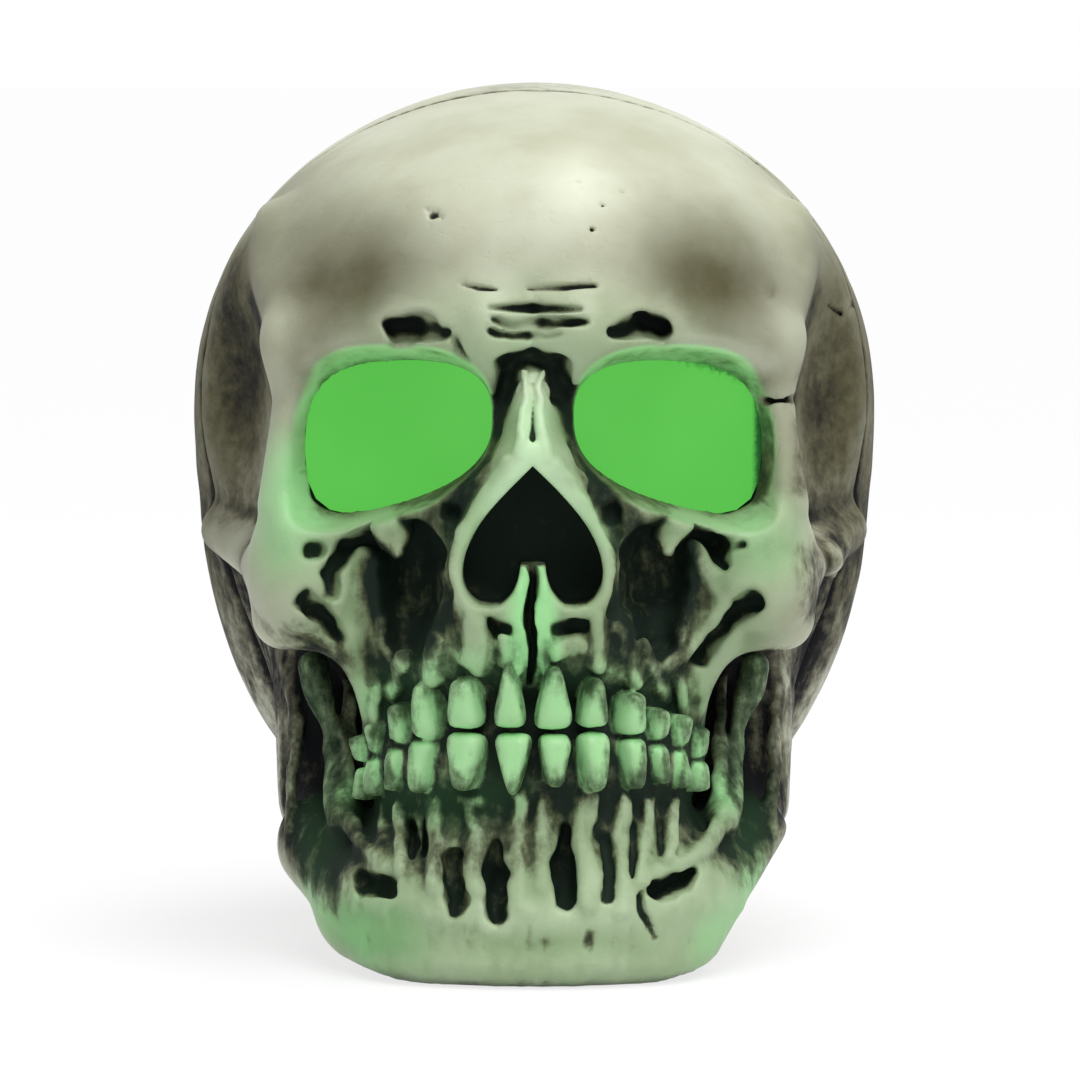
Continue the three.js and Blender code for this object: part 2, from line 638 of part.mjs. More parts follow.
const SKULL_SKIN = joined(skin(-FACET_SAG, FINE_BALL), slab(baseOutline(PLINTH.margin), -WALL, PLINTH.top));
const OUTSIDE = without(SKULL_SKIN, BELOW_GROUND);
const CORE = without(
  joined(
    skin(CORE_DEPTH, COARSE_BALL),
    slab(baseOutline(PLINTH.margin - WALL), 0, PLINTH.top),
    block(stretched(THROAT.low), stretched(THROAT.high)),
  ),
  block([-FAR, -FAR, -FAR], [FAR, FAR, WALL]),
  noseOpening(WALL),
  ...[-1, 1].flatMap((side) => PITS.map((row) => backing(row, side))),
);
const BASE_SEAT = baseSeat();
const BASE_CUTS = baseCuts();

function frontShell() {
  const sides = [-1, 1];
  const collars = sides.map((side) =>
    placedEyePlug(side, WALL, -COLLAR_DEPTH, LENS.thick).intersect(OUTSIDE),
  );
  const posts = BOARD_SCREWS.map((place) =>
    bar("y", place, POST.radius, -FAR, BOARD_Y - GAP).intersect(OUTSIDE),
  );
  const ridges = sides.flatMap((side) => RIDGES.map((row) => ridge(row, side)));
  const pitted = without(joined(without(OUTSIDE, CORE), ...collars), ...lumps(PITS));
  const whole = joined(pitted, ...posts, BASE_SEAT, ...lumps(ROOTS), ...ridges);
  const eyeCuts = sides.map((side) => placedEyePlug(side, 0, -2 * COLLAR_DEPTH, GAP));
  const lensCuts = sides.map((side) => placedEyePlug(side, LENS.flange + GAP, 0, LENS.thick + 2 * GAP));
  const screwCuts = BOARD_SCREWS.map((place) =>
    bar("y", place, SCREW.radius + GAP, BOARD_Y - SCREW.length, BOARD_Y),
  );
  const half = whole.intersect(ahead(PARTING_Y));
  const face = without(half, noseOpening(0), ...eyeCuts, ...lensCuts, ...screwCuts, BASE_CUTS);
  const septum = sides.map((side) => roundBar(SEPTUM.path, SEPTUM.radius, side));
  const teeth = [...UPPER_TEETH, ...LOWER_TEETH].map(tooth);
  return joined(face, ...septum, ...teeth);
}

function rearShell() {
  const whole = joined(without(OUTSIDE, CORE), BASE_SEAT);
  return without(whole.intersect(behind(PARTING_Y + GAP)), BASE_CUTS);
}

// Eye lens: a flat green sheet that lies on the rear edge of its collar
const lens = (side) => placedEyePlug(side, LENS.flange, GAP, GAP + LENS.thick);

// Lamp board: a strip with two screw holes
function lampBoard() {
  const half = { x: LAMP_X + BOARD.beyondLamps, z: BOARD.height / 2 };
  const outline = roundedRectangle(-half.x, half.x, -half.z, half.z, BOARD.corner);
  const geometry = new THREE.ExtrudeGeometry(outline, {
    depth: BOARD.thick,
    bevelEnabled: false,
    curveSegments: 3,
  });
  geometry.rotateX(Math.PI / 2);
  geometry.translate(0, BOARD_Y + BOARD.thick, LAMP_Z);
  const holes = BOARD_SCREWS.map((place) =>
    bar("y", place, SCREW.radius + GAP, BOARD_Y - OVERRUN, BOARD_Y + BOARD.thick + OVERRUN),
  );
  return without(solidOf(geometry), ...holes);
}

// A 5 mm lamp that points at the face, its base on the board
function led(side) {
  const profile = new THREE.Path();
  profile.moveTo(0, 0);
  profile.lineTo(LED.flangeRadius, 0);
  profile.lineTo(LED.flangeRadius, LED.flangeThick);
  profile.lineTo(LED.radius, LED.flangeThick);
  profile.lineTo(LED.radius, LED.length - LED.radius);
  profile.absarc(0, LED.length - LED.radius, LED.radius, 0, Math.PI / 2);
  const geometry = new THREE.LatheGeometry(profile.getPoints(2), ROUND_SIDES);
  geometry.rotateX(Math.PI);
  geometry.translate(side * LAMP_X, BOARD_Y - GAP, LAMP_Z);
  return solidOf(geometry);
}

function resistor() {
  const { radius, length, waist, end } = RESISTOR;
  const profile = [
    [0, 0],
    [radius * waist, 0],
    [radius, (length * end) / 2],
    [radius * waist, length * end],
    [radius * waist, length * (1 - end)],
    [radius, length * (1 - end / 2)],
    [radius * waist, length],
    [0, length],
  ].map(([r, y]) => new THREE.Vector2(r, y));
  const geometry = new THREE.LatheGeometry(profile, ROUND_SIDES);
  geometry.rotateZ(-Math.PI / 2);
  const back = BOARD_Y + BOARD.thick;
  geometry.translate(RESISTOR.x, back + GAP + radius, LAMP_Z);
  return solidOf(geometry);
}

// A pan-head screw: head at the origin, shank along +Z
function screw(length) {
  const profile = new THREE.Path();
  profile.moveTo(0, 0);
  profile.lineTo(SCREW.topRadius, 0);
  profile.lineTo(SCREW.headRadius, SCREW.headThick / 2);
  profile.lineTo(SCREW.headRadius, SCREW.headThick);
  profile.lineTo(SCREW.radius, SCREW.headThick);
  profile.lineTo(SCREW.radius, length - SCREW.radius);
  profile.lineTo(0, length);
  const geometry = new THREE.LatheGeometry(profile.getPoints(1), ROUND_SIDES);
  geometry.rotateX(Math.PI / 2);
  const slot = block(
    [-SCREW.headRadius, -SCREW_SLOT.width / 2, -OVERRUN],
    [SCREW.headRadius, SCREW_SLOT.width / 2, SCREW_SLOT.depth],
  );
  return without(solidOf(geometry), slot);
}

// The door's outline in plan, grown by a margin: a rectangle with a tab at its rear end
function doorOutline(margin) {
  const panel = roundedRectangle(
    -DOOR_HALF_WIDTH - margin,
    DOOR_HALF_WIDTH + margin,
    HINGE.y - DOOR.thick / 2 - margin,
    DOOR_BACK + margin,
    margin + GAP,
  );
  const tab = roundedRectangle(
    -DOOR.tabHalfWidth - margin,
    DOOR.tabHalfWidth + margin,
    BAY_BACK,
    DOOR_BACK + DOOR.tabLength + margin,
    DOOR.tabHalfWidth / 2 + margin,
  );
  return [panel, tab];
}

const doorSlab = (margin, bottom, top) =>
  joined(...doorOutline(margin).map((shape) => slab(shape, bottom, top)));

function basePlate() {
  const plate = slab(baseOutline(0), 0, BASE.thick);
  const bay = block(
    [-BAY_HALF_WIDTH - BAY.wall, BAY.front - BAY.wall, BASE.thick - OVERRUN],
    [BAY_HALF_WIDTH + BAY.wall, BAY_BACK + BAY.wall, BAY_TOP + BAY.roof],
  );
  const doorBoss = bar("z", [0, DOOR_SCREW_Y], DOOR_BOSS.radius, BASE.thick - OVERRUN, DOOR_BOSS.top);
  const room = block([-BAY_HALF_WIDTH, BAY.front, -OVERRUN], [BAY_HALF_WIDTH, BAY_BACK, BAY_TOP]);
  const doorPocket = doorSlab(GAP, -OVERRUN, DOOR_SEAT);
  const stubReach = DOOR_HALF_WIDTH + DOOR_STUB.length + GAP;
  const stubSockets = bar("x", [HINGE.y, HINGE.z], DOOR_STUB.radius + GAP, -stubReach, stubReach);
  const screwRoom = SCREW.radius + DOOR_SCREW_SWING;
  const doorScrewHole = bar("z", [0, DOOR_SCREW_Y], screwRoom, 0, DOOR_BOSS.top - OVERRUN);
  const seatTop = SCREW_SINK + SCREW.headThick;
  const seats = BASE_SCREWS.map((place) => bar("z", place, COUNTERBORE, -OVERRUN, seatTop));
  const holeTop = BASE.thick + OVERRUN;
  const holes = BASE_SCREWS.map((place) => bar("z", place, SCREW.radius + GAP, -OVERRUN, holeTop));
  const slot = block(
    [-SLIDER.width / 2 - GAP, SWITCH.y - SLIDER.depth / 2 - GAP, -OVERRUN],
    [SLIDER.width / 2 + SWITCH_TRAVEL + GAP, SWITCH.y + SLIDER.depth / 2 + GAP, holeTop],
  );
  const grow = (corner, by) => corner.map((v) => v + by);
  const slots = contactPlaces().map(({ low, high }) => block(grow(low, -GAP), grow(high, GAP)));
  return without(
    joined(plate, bay, doorBoss),
    room,
    doorPocket,
    stubSockets,
    doorScrewHole,
    slot,
    ...seats,
    ...holes,
    ...slots,
  );
}

// Battery door: rounded about its pivot at the front edge
function batteryDoor() {
  const flat = doorSlab(0, DOOR.lift, DOOR_TOP).intersect(behind(HINGE.y));
  const edge = bar("x", [HINGE.y, HINGE.z], DOOR.thick / 2, -DOOR_HALF_WIDTH, DOOR_HALF_WIDTH);
  const stubReach = DOOR_HALF_WIDTH + DOOR_STUB.length;
  const stubs = bar("x", [HINGE.y, HINGE.z], DOOR_STUB.radius, -stubReach, stubReach);
  const sink = bar("z", [0, DOOR_SCREW_Y], COUNTERBORE, 0, SCREW_SINK + SCREW.headThick);
  const hole = bar("z", [0, DOOR_SCREW_Y], SCREW.radius + GAP, 0, DOOR_TOP + OVERRUN);
  return without(joined(flat, edge, stubs), sink, hole);
}

// A cell along Y; its nub points to the front (facing -1) or to the back (facing 1)
function cell(facing) {
  const { radius, length, nubRadius, nubLength, chamfer } = CELL;
  const can = length - nubLength;
  const profile = [
    [0, 0],
    [radius - chamfer, 0],
    [radius, chamfer],
    [radius, can - chamfer],
    [radius - chamfer, can],
    [nubRadius, can],
    [nubRadius, length],
    [0, length],
  ].map(([r, y]) => new THREE.Vector2(r, y));
  const geometry = new THREE.LatheGeometry(profile, ROUND_SIDES);
  geometry.translate(0, -length / 2, 0);
  if (facing < 0) geometry.rotateX(Math.PI);
  return geometry;
}

// Cells stand on the flat contacts with their nubs and on the springs with their flat ends
function cellPlace(index) {
  const facing = index % 2 === 0 ? -1 : 1;
  const slack = CONTACT.thick + GAP + CELL.length / 2;
  const y = facing < 0 ? BAY.front + slack : BAY_BACK - slack;
  return { x: (index - 1) * CELL.pitch, y, facing };
}

// The four contact plates: which cells each one touches, and at which end of the bay
const CONTACTS = [
  { name: "contact_positive", end: -1, flat: [0], spring: [] },
  { name: "contact_bridge_front", end: -1, flat: [2], spring: [1] },
  { name: "contact_bridge_rear", end: 1, flat: [1], spring: [0] },
  { name: "contact_negative", end: 1, flat: [], spring: [2] },
];

function contactPlaces() {
  return CONTACTS.map(({ end, flat, spring }) => {
    const xs = [...flat, ...spring].map((index) => cellPlace(index).x);
    const wall = end < 0 ? BAY.front : BAY_BACK - CONTACT.thick;
    const top = xs.length === 1 ? BAY_TOP + BAY.roof + CONTACT.tab : BAY_TOP - GAP;
    return {
      low: [Math.min(...xs) - CONTACT.width / 2, wall, CONTACT.bottom],
      high: [Math.max(...xs) + CONTACT.width / 2, wall + CONTACT.thick, top],
    };
  });
}

// A conical coil that stands on a contact plate and points along +Y
function coil() {
  class Cone extends THREE.Curve {
    getPoint(t, target = new THREE.Vector3()) {
      const angle = 2 * Math.PI * SPRING.turns * t;
      const radius = THREE.MathUtils.lerp(SPRING.rootRadius, SPRING.tipRadius, t);
      const height = (SPRING.length - SPRING.wire) * t;
      return target.set(radius * Math.cos(angle), height, radius * Math.sin(angle));
    }
  }
  return tube(new Cone(), SPRING.wire, SPRING.sides, SPRING.turns * SPRING.steps);
}

// A round wire along a curve
function tube(curve, radius, sides, steps) {
  const section = new THREE.Shape();
  for (let i = 0; i < sides; i++) {
    const angle = (2 * Math.PI * i) / sides;
    const point = [radius * Math.cos(angle), radius * Math.sin(angle)];
    if (i === 0) section.moveTo(...point);
    else section.lineTo(...point);
  }
  return new THREE.ExtrudeGeometry(section, { steps, extrudePath: curve, bevelEnabled: false });
}

function contact({ end, spring }, { low, high }) {
  const plate = block(low, high);
  const springs = spring.map((index) => {
    const geometry = coil();
    if (end > 0) geometry.rotateX(Math.PI);
    const foot = end < 0 ? high[1] : low[1];
    geometry.translate(cellPlace(index).x, foot, CELL_Z);
    return solidOf(geometry);
  });
  return joined(plate, ...springs);
}

// Slide switch: an open-bottomed case that stands on the base plate over its slot
const SWITCH_FLOOR = BASE.thick + GAP;
function switchBody() {
  const half = { x: SWITCH.width / 2, y: SWITCH.depth / 2 };
  const middle = SWITCH_TRAVEL / 2;
  const outside = block(
    [middle - half.x, SWITCH.y - half.y, SWITCH_FLOOR],
    [middle + half.x, SWITCH.y + half.y, SWITCH_FLOOR + SWITCH.height],
  );
  const room = block(
    [-SLIDER.carriageWidth / 2 - GAP, SWITCH.y - SLIDER.carriageDepth / 2 - GAP, SWITCH_FLOOR - OVERRUN],
    [
      SLIDER.carriageWidth / 2 + SWITCH_TRAVEL + GAP,
      SWITCH.y + SLIDER.carriageDepth / 2 + GAP,
      SWITCH_FLOOR + GAP + SLIDER.carriageHeight + GAP,
    ],
  );
  const top = SWITCH_FLOOR + SWITCH.height;
  const pins = SWITCH_PINS.map((x) =>
    block(
      [x - SWITCH_PIN.halfWidth, SWITCH.y - SWITCH_PIN.halfDepth, top - OVERRUN],
      [x + SWITCH_PIN.halfWidth, SWITCH.y + SWITCH_PIN.halfDepth, top + SWITCH_PIN.length],
    ),
  );
  return joined(without(outside, room), ...pins);
}

function switchSlider() {
  const stem = block(
    [-SLIDER.width / 2, SWITCH.y - SLIDER.depth / 2, SLIDER.tip],
    [SLIDER.width / 2, SWITCH.y + SLIDER.depth / 2, SWITCH_FLOOR + GAP + OVERRUN],
  );
  const carriage = block(
    [-SLIDER.carriageWidth / 2, SWITCH.y - SLIDER.carriageDepth / 2, SWITCH_FLOOR + GAP],
    [
      SLIDER.carriageWidth / 2,
      SWITCH.y + SLIDER.carriageDepth / 2,
      SWITCH_FLOOR + GAP + SLIDER.carriageHeight,
    ],
  );
  return joined(stem, carriage);
}

// A lead through the given points, with round bends
function lead(points) {
  const curve = new THREE.CatmullRomCurve3(points.map((p) => new THREE.Vector3(...p)));
  return tube(curve, WIRE.radius, WIRE_SIDES, Math.ceil(curve.getLength() / WIRE.step));
}

// The assembly
const skull = new THREE.Group();
skull.name = "skull_decoration";
function add(name, shape, material) {
  const mesh = new THREE.Mesh(shape.isBufferGeometry ? shape : geometryOf(shape), material);
  mesh.name = name;
  skull.add(mesh);
  return mesh;
}

add("front_shell", frontShell(), BONE);
add("rear_shell", rearShell(), BONE);
add("eye_lens_left", lens(-1), GREEN_LENS);
add("eye_lens_right", lens(1), GREEN_LENS);
add("lamp_board", lampBoard(), BOARD_TAN);
add("led_left", led(-1), GREEN_LENS);
add("led_right", led(1), GREEN_LENS);
add("resistor", resistor(), RESISTOR_TAN);
BOARD_SCREWS.forEach(([x, z], i) => {
  const mesh = add("lamp_board_screw_" + (i + 1), screw(SCREW.length), STEEL);
  mesh.rotation.x = Math.PI / 2;
  mesh.position.set(x, BOARD_Y + BOARD.thick + SCREW.headThick + GAP, z);
});
add("base_plate", basePlate(), BLACK_PLASTIC);
BASE_SCREWS.forEach(([x, y], i) => {
  const mesh = add("base_screw_" + (i + 1), screw(SCREW.length), STEEL);
  mesh.position.set(x, y, SCREW_SINK - GAP);
});
add("battery_door", batteryDoor(), BLACK_PLASTIC);
const doorScrew = add("battery_door_screw", screw(SCREW.length), STEEL);
doorScrew.position.set(0, DOOR_SCREW_Y, SCREW_SINK - GAP);
[0, 1, 2].forEach((index) => {
  const { x, y, facing } = cellPlace(index);
  const mesh = add("battery_cell_" + (index + 1), cell(facing), CELL_JACKET);
  mesh.position.set(x, y, CELL_Z);
});
const contactBoxes = contactPlaces();
CONTACTS.forEach((piece, i) => add(piece.name, contact(piece, contactBoxes[i]), STEEL));
add("switch_body", switchBody(), BLACK_PLASTIC);
add("switch_slider", switchSlider(), BLACK_PLASTIC);

// Leads run from the contacts and the switch to the lower edge of the lamp board
const BOARD_EDGE = LAMP_Z - BOARD.height / 2 - GAP;
const BOARD_MIDDLE = BOARD_Y + BOARD.thick / 2;
const PIN_TOP = SWITCH_FLOOR + SWITCH.height + SWITCH_PIN.length + GAP;
const TAB_TOP = BAY_TOP + BAY.roof + CONTACT.tab + GAP;
const positiveTab = contactBoxes[0];
const negativeTab = contactBoxes[3];
const tabPoint = ({ low, high }) => [(low[0] + high[0]) / 2, (low[1] + high[1]) / 2, TAB_TOP];
const raised = ([x, y, z], by) => [x, y, z + by];
const positiveEnd = tabPoint(positiveTab);
const negativeEnd = tabPoint(negativeTab);
const [pinOne, pinTwo] = SWITCH_PINS.map((x) => [x, SWITCH.y, PIN_TOP]);
const whiteEnd = [WIRE.spread, BOARD_MIDDLE, BOARD_EDGE];
const blackEnd = [-WIRE.spread, BOARD_MIDDLE, BOARD_EDGE];
add(
  "lead_positive",
  lead([
    positiveEnd,
    raised(positiveEnd, WIRE.standOff),
    [positiveEnd[0] / 2, (positiveEnd[1] + SWITCH.y) / 2, TAB_TOP + WIRE.loop],
    raised(pinOne, WIRE.standOff),
    pinOne,
  ]),
  WIRE_RED,
);
add(
  "lead_switched",
  lead([
    pinTwo,
    raised(pinTwo, WIRE.standOff),
    [WIRE.spread, BOARD_MIDDLE - WIRE.slack, BOARD_EDGE - WIRE.drop],
    raised(whiteEnd, -WIRE.standOff),
    whiteEnd,
  ]),
  WIRE_WHITE,
);
add(
  "lead_negative",
  lead([
    negativeEnd,
    raised(negativeEnd, WIRE.standOff),
    [negativeEnd[0], negativeEnd[1] - NEGATIVE_RUN.forwards, TAB_TOP + NEGATIVE_RUN.upwards],
    [-WIRE.spread, BOARD_MIDDLE + WIRE.slack, BOARD_EDGE - WIRE.bend],
    raised(blackEnd, -WIRE.standOff),
    blackEnd,
  ]),
  WIRE_BLACK,
);

export default skull;
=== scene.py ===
"""Light-up skull decoration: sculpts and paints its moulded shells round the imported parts,
finishes every other part, and sets it on a pale stage.

The skull is sculpted as clay: a block of distances that masses are melted into and strokes are
carved from, which is then meshed and painted at its points. Lengths in the sculpt are millimetres,
in the frame's own axes, with the face looking along -Y.
"""
import math

import bmesh
import bpy
import numpy as np
import openvdb
from bpy.props import FloatProperty, FloatVectorProperty, IntProperty, PointerProperty
from mathutils import Matrix, Vector


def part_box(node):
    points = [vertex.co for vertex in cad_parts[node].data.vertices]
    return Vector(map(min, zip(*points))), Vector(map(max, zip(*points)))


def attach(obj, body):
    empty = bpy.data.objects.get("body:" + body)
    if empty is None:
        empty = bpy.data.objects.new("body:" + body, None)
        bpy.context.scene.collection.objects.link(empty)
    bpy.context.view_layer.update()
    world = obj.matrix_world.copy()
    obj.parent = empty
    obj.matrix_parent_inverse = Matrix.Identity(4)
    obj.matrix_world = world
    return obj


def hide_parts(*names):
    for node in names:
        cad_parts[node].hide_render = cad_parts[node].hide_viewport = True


bl_info = {
    "name": "Light-up skull decoration",
    "version": (1, 0, 0),
    "blender": (4, 5, 0),
    "location": "3D View > Sidebar > Skull",
    "description": "Sculpts, paints and stages a moulded skull round its packed parts",
    "category": "Object",
}

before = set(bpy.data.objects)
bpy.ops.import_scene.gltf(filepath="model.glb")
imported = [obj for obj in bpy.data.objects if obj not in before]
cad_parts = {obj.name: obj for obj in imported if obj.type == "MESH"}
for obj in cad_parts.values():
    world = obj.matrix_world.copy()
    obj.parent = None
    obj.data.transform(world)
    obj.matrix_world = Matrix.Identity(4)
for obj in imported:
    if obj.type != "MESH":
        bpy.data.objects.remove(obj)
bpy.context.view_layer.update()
MM = 0.001


def box_mm(node):
    """A node's lowest and highest corners in millimetres."""
    return [np.array(corner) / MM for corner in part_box(node)]


def middle_mm(node):
    """The middle of a node's box in millimetres."""
    low, high = box_mm(node)
    return (low + high) / 2


# Places that the frame gives
PARTING_FRONT = box_mm("front_shell")[1][1]
PARTING_REAR = box_mm("rear_shell")[0][1]
BASE_LOW, BASE_HIGH = box_mm("base_plate")
BOARD_FACE = box_mm("lamp_board")[0][1]
BOARD_POSTS = [middle_mm(f"lamp_board_screw_{i}")[[0, 2]] for i in (1, 2)]
BASE_SCREWS = [middle_mm(f"base_screw_{i}")[:2] for i in (1, 2, 3, 4)]
FRONT_LIMIT = box_mm("front_shell")[0][1] + 0.1

# The block of clay. A half's block runs past its parting plane by a margin; a side that isn't
# parted counts as cut outside the block.
BLOCK_HALF_WIDTH = 69.5
BLOCK_FRONT = -77.0
BLOCK_BACK = 77.0
BLOCK_BOTTOM = -2.0
BLOCK_TOP = 172.0
PARTING_MARGIN = 2.0
UNCUT = 78.0
FAR_AWAY = 50.0
HARD_EDGE = 0.01

# Walls, edges and openings of the shells
WALL = 2.8
LEAST_WALL = 2.2
CORE_DEPTH = 3.6
PARTING_ROUND = 1.2
FACE_BACK = -42.0
EYE_FRONT = -40.0
EYE_BACK = 1.0
EYE_ROUND = 1.2
EYE_WALL_BACK = 2.0
LENS_POCKET = 1.5
LENS_POCKET_BACK = 2.6
NOSE_ROUND = 1.0

# The plinth, and the ledge, seat and posts inside the shells; spans are from one end to the other
BASE_CORNER = 9.0
PLINTH_MARGIN = 4.5
PLINTH_TOP = 52.0
PLINTH_BLEND = 2.0
LEDGE_OUTSIDE = 3.0
LEDGE_INSIDE = -4.0
LEDGE_SPAN = (1.4, 5.5)
LEDGE_OPENING = (-1.0, 6.0)
SEAT_GAP = 0.3
SEAT_SPAN = (-2.0, 3.1)
BORE_RADIUS = 1.5
BOARD_POST_RADIUS = 3.2
BOARD_POST_FRONT = -66.0
BOARD_GAP = 0.3
BOARD_BORE_DEPTH = 9.0
BASE_POST_RADIUS = 3.4
BASE_POST_SPAN = (1.4, 12.1)
BASE_BORE_SPAN = (-1.0, 11.0)


# Forms: each has a distance, negative inside. Those that clay takes also have a box that they keep to.
class Blob:
    """An ellipsoid, turned in front view by an angle in degrees."""

    def __init__(self, centre, radii, turn=0.0):
        self.centre = centre
        self.radii = radii
        self.turn = math.radians(turn)
        reach = max(radii) if turn else None
        self.low = [c - (reach or r) for c, r in zip(centre, radii)]
        self.high = [c + (reach or r) for c, r in zip(centre, radii)]

    def distance(self, x, y, z):
        x, y, z = x - self.centre[0], y - self.centre[1], z - self.centre[2]
        if self.turn:
            cosine, sine = math.cos(self.turn), math.sin(self.turn)
            x, z = x * cosine + z * sine, z * cosine - x * sine
        x, y, z = (a / r for a, r in zip((x, y, z), self.radii))
        near = np.sqrt(x * x + y * y + z * z)
        a, b, c = (v / r for v, r in zip((x, y, z), self.radii))
        slope = np.sqrt(a * a + b * b + c * c) + 1e-6
        return near * (near - 1) / slope


class Limb:
    """A chain of round links through points, with a radius at each point.
    A deep limb is stretched along Y, which makes a deep groove of a thin one."""

    def __init__(self, points, radii, deep=1.0):
        self.points = np.array(points, float)
        self.radii = np.broadcast_to(np.array(radii, float), len(points))
        self.deep = deep
        reach = self.radii[:, None] * np.array([1, deep, 1])
        self.low = (self.points - reach).min(0)
        self.high = (self.points + reach).max(0)

    def distance(self, x, y, z):
        y = y / self.deep
        points = self.points / np.array([1, self.deep, 1])
        if len(points) == 1:
            points = np.repeat(points, 2, 0)
        nearest = None
        for i in range(len(points) - 1):
            start = points[i]
            along = points[i + 1] - start
            dx, dy, dz = x - start[0], y - start[1], z - start[2]
            length = max(along @ along, 1e-9)
            t = np.clip((dx * along[0] + dy * along[1] + dz * along[2]) / length, 0, 1)
            gone = (dx - t * along[0], dy - t * along[1], dz - t * along[2])
            radius = self.radii[min(i, len(self.radii) - 1)]
            growth = self.radii[min(i + 1, len(self.radii) - 1)] - radius
            reach = np.sqrt(gone[0] ** 2 + gone[1] ** 2 + gone[2] ** 2) - radius - growth * t
            nearest = reach if nearest is None else np.minimum(nearest, reach)
        return nearest


class FaceStroke:
    """A painted stroke on the face, drawn in front view."""

    def __init__(self, places, radius):
        self.limb = Limb([(x, 0, z) for x, z in places], radius)

    def distance(self, x, y, z):
        return self.limb.distance(x, np.maximum(y - FACE_BACK, 0), z)


class Slab:
    """An upright block with a rounded-rectangle outline."""

    def __init__(self, low, high, corner):
        self.low = np.array(low, float)
        self.high = np.array(high, float)
        self.corner = corner

    def distance(self, x, y, z):
        middle, half = (self.low + self.high) / 2, (self.high - self.low) / 2
        out_x = np.abs(x - middle[0]) - half[0] + self.corner
        out_y = np.abs(y - middle[1]) - half[1] + self.corner
        side = np.sqrt(np.maximum(out_x, 0) ** 2 + np.maximum(out_y, 0) ** 2)
        side = side + np.minimum(np.maximum(out_x, out_y), 0) - self.corner
        return np.maximum(side, np.abs(z - middle[2]) - half[2])


class Post:
    """A round bar along Y or Z between two ends."""

    def __init__(self, axis, place, radius, start, end):
        self.axis = axis
        self.place = place
        self.radius = radius
        self.span = (start, end)
        corner = [place[0] - radius, place[1] - radius]
        far = [place[0] + radius, place[1] + radius]
        at = 1 if axis == "y" else 2
        self.low = corner[:at] + [start] + corner[at:]
        self.high = far[:at] + [end] + far[at:]

    def distance(self, x, y, z):
        across, along = (z, y) if self.axis == "y" else (y, z)
        round_ = np.sqrt((x - self.place[0]) ** 2 + (across - self.place[1]) ** 2) - self.radius
        middle, half = sum(self.span) / 2, (self.span[1] - self.span[0]) / 2
        return np.maximum(round_, np.abs(along - middle) - half)


class EyePlug:
    """A drooping super-ellipse between two depths behind the eye plane, which is turned outwards."""

    centre = (25.4, -50.0, 103.7)
    half_width = 18.3
    half_height = 13.3
    squareness = 2.7
    droop = 0.17
    droop_change = 0.13
    turn = math.radians(15)
    flare = 0.3
    room = 8.0

    def __init__(self, side, margin, near, far):
        self.side = side
        self.margin = margin
        self.span = (near, far)
        reach = self.half_width + margin + self.flare * max(-near, 0)
        x = side * self.centre[0]
        depth = max(abs(near), abs(far)) + self.room
        self.low = [x - reach, self.centre[1] - depth, self.centre[2] - reach]
        self.high = [x + reach, self.centre[1] + depth, self.centre[2] + reach]

    def distance(self, x, y, z):
        x, y, z = self.side * x - self.centre[0], y - self.centre[1], z - self.centre[2]
        cosine, sine = math.cos(self.turn), math.sin(self.turn)
        across, depth = x * cosine + y * sine, y * cosine - x * sine
        rise = (z + self.droop * across) / (1 + self.droop_change * across / self.half_height)
        margin = self.margin + self.flare * np.maximum(-depth, 0)
        wide, high = self.half_width + margin, self.half_height + margin
        power = self.squareness
        outline = (np.abs(across / wide) ** power + np.abs(rise / high) ** power) ** (1 / power)
        near, far = self.span
        ends = np.abs(depth - (near + far) / 2) - (far - near) / 2
        return np.maximum((outline - 1) * self.half_height, ends)


class NoseHole:
    """The nose opening: a pointed arch over two round lobes, straight back to a depth."""

    top = 98.5
    bottom = 72.0
    half_width = 13.1
    widest = 0.77
    lobe = 0.6
    cleft = 0.7
    cleft_depth = 0.42
    back = -57.0
    front = -80.0
    reach = 20.0
    room = 8.0
    steepness = 0.75

    def __init__(self, margin):
        self.margin = margin
        self.low = [-self.reach, self.front, self.bottom - self.room]
        self.high = [self.reach, self.back + margin + 1, self.top + self.room]

    def distance(self, x, y, z):
        x = np.abs(x)
        down = (self.top - z) / (self.top - self.bottom)
        arch = np.sin(np.clip(down / self.widest, 0, 1) * math.pi / 2)
        below = np.clip((down - self.widest) / (1 - self.widest), 0, 1)
        lobe = self.lobe + (1 - self.lobe) * np.sqrt(1 - below**2)
        outer = x - self.half_width * np.where(down < self.widest, arch, lobe)
        into = np.clip((down - self.cleft) / (1 - self.cleft), 0, 1)
        middle = np.where(down < self.cleft, -1, self.lobe - self.cleft_depth * np.sqrt(1 - into**2))
        inner = self.half_width * middle - x
        ends = np.maximum(z - self.top, self.bottom - z)
        sides = np.maximum(outer * self.steepness, inner * self.steepness)
        heart = np.maximum(sides, ends) - self.margin
        return np.maximum(heart, y - self.back - self.margin)


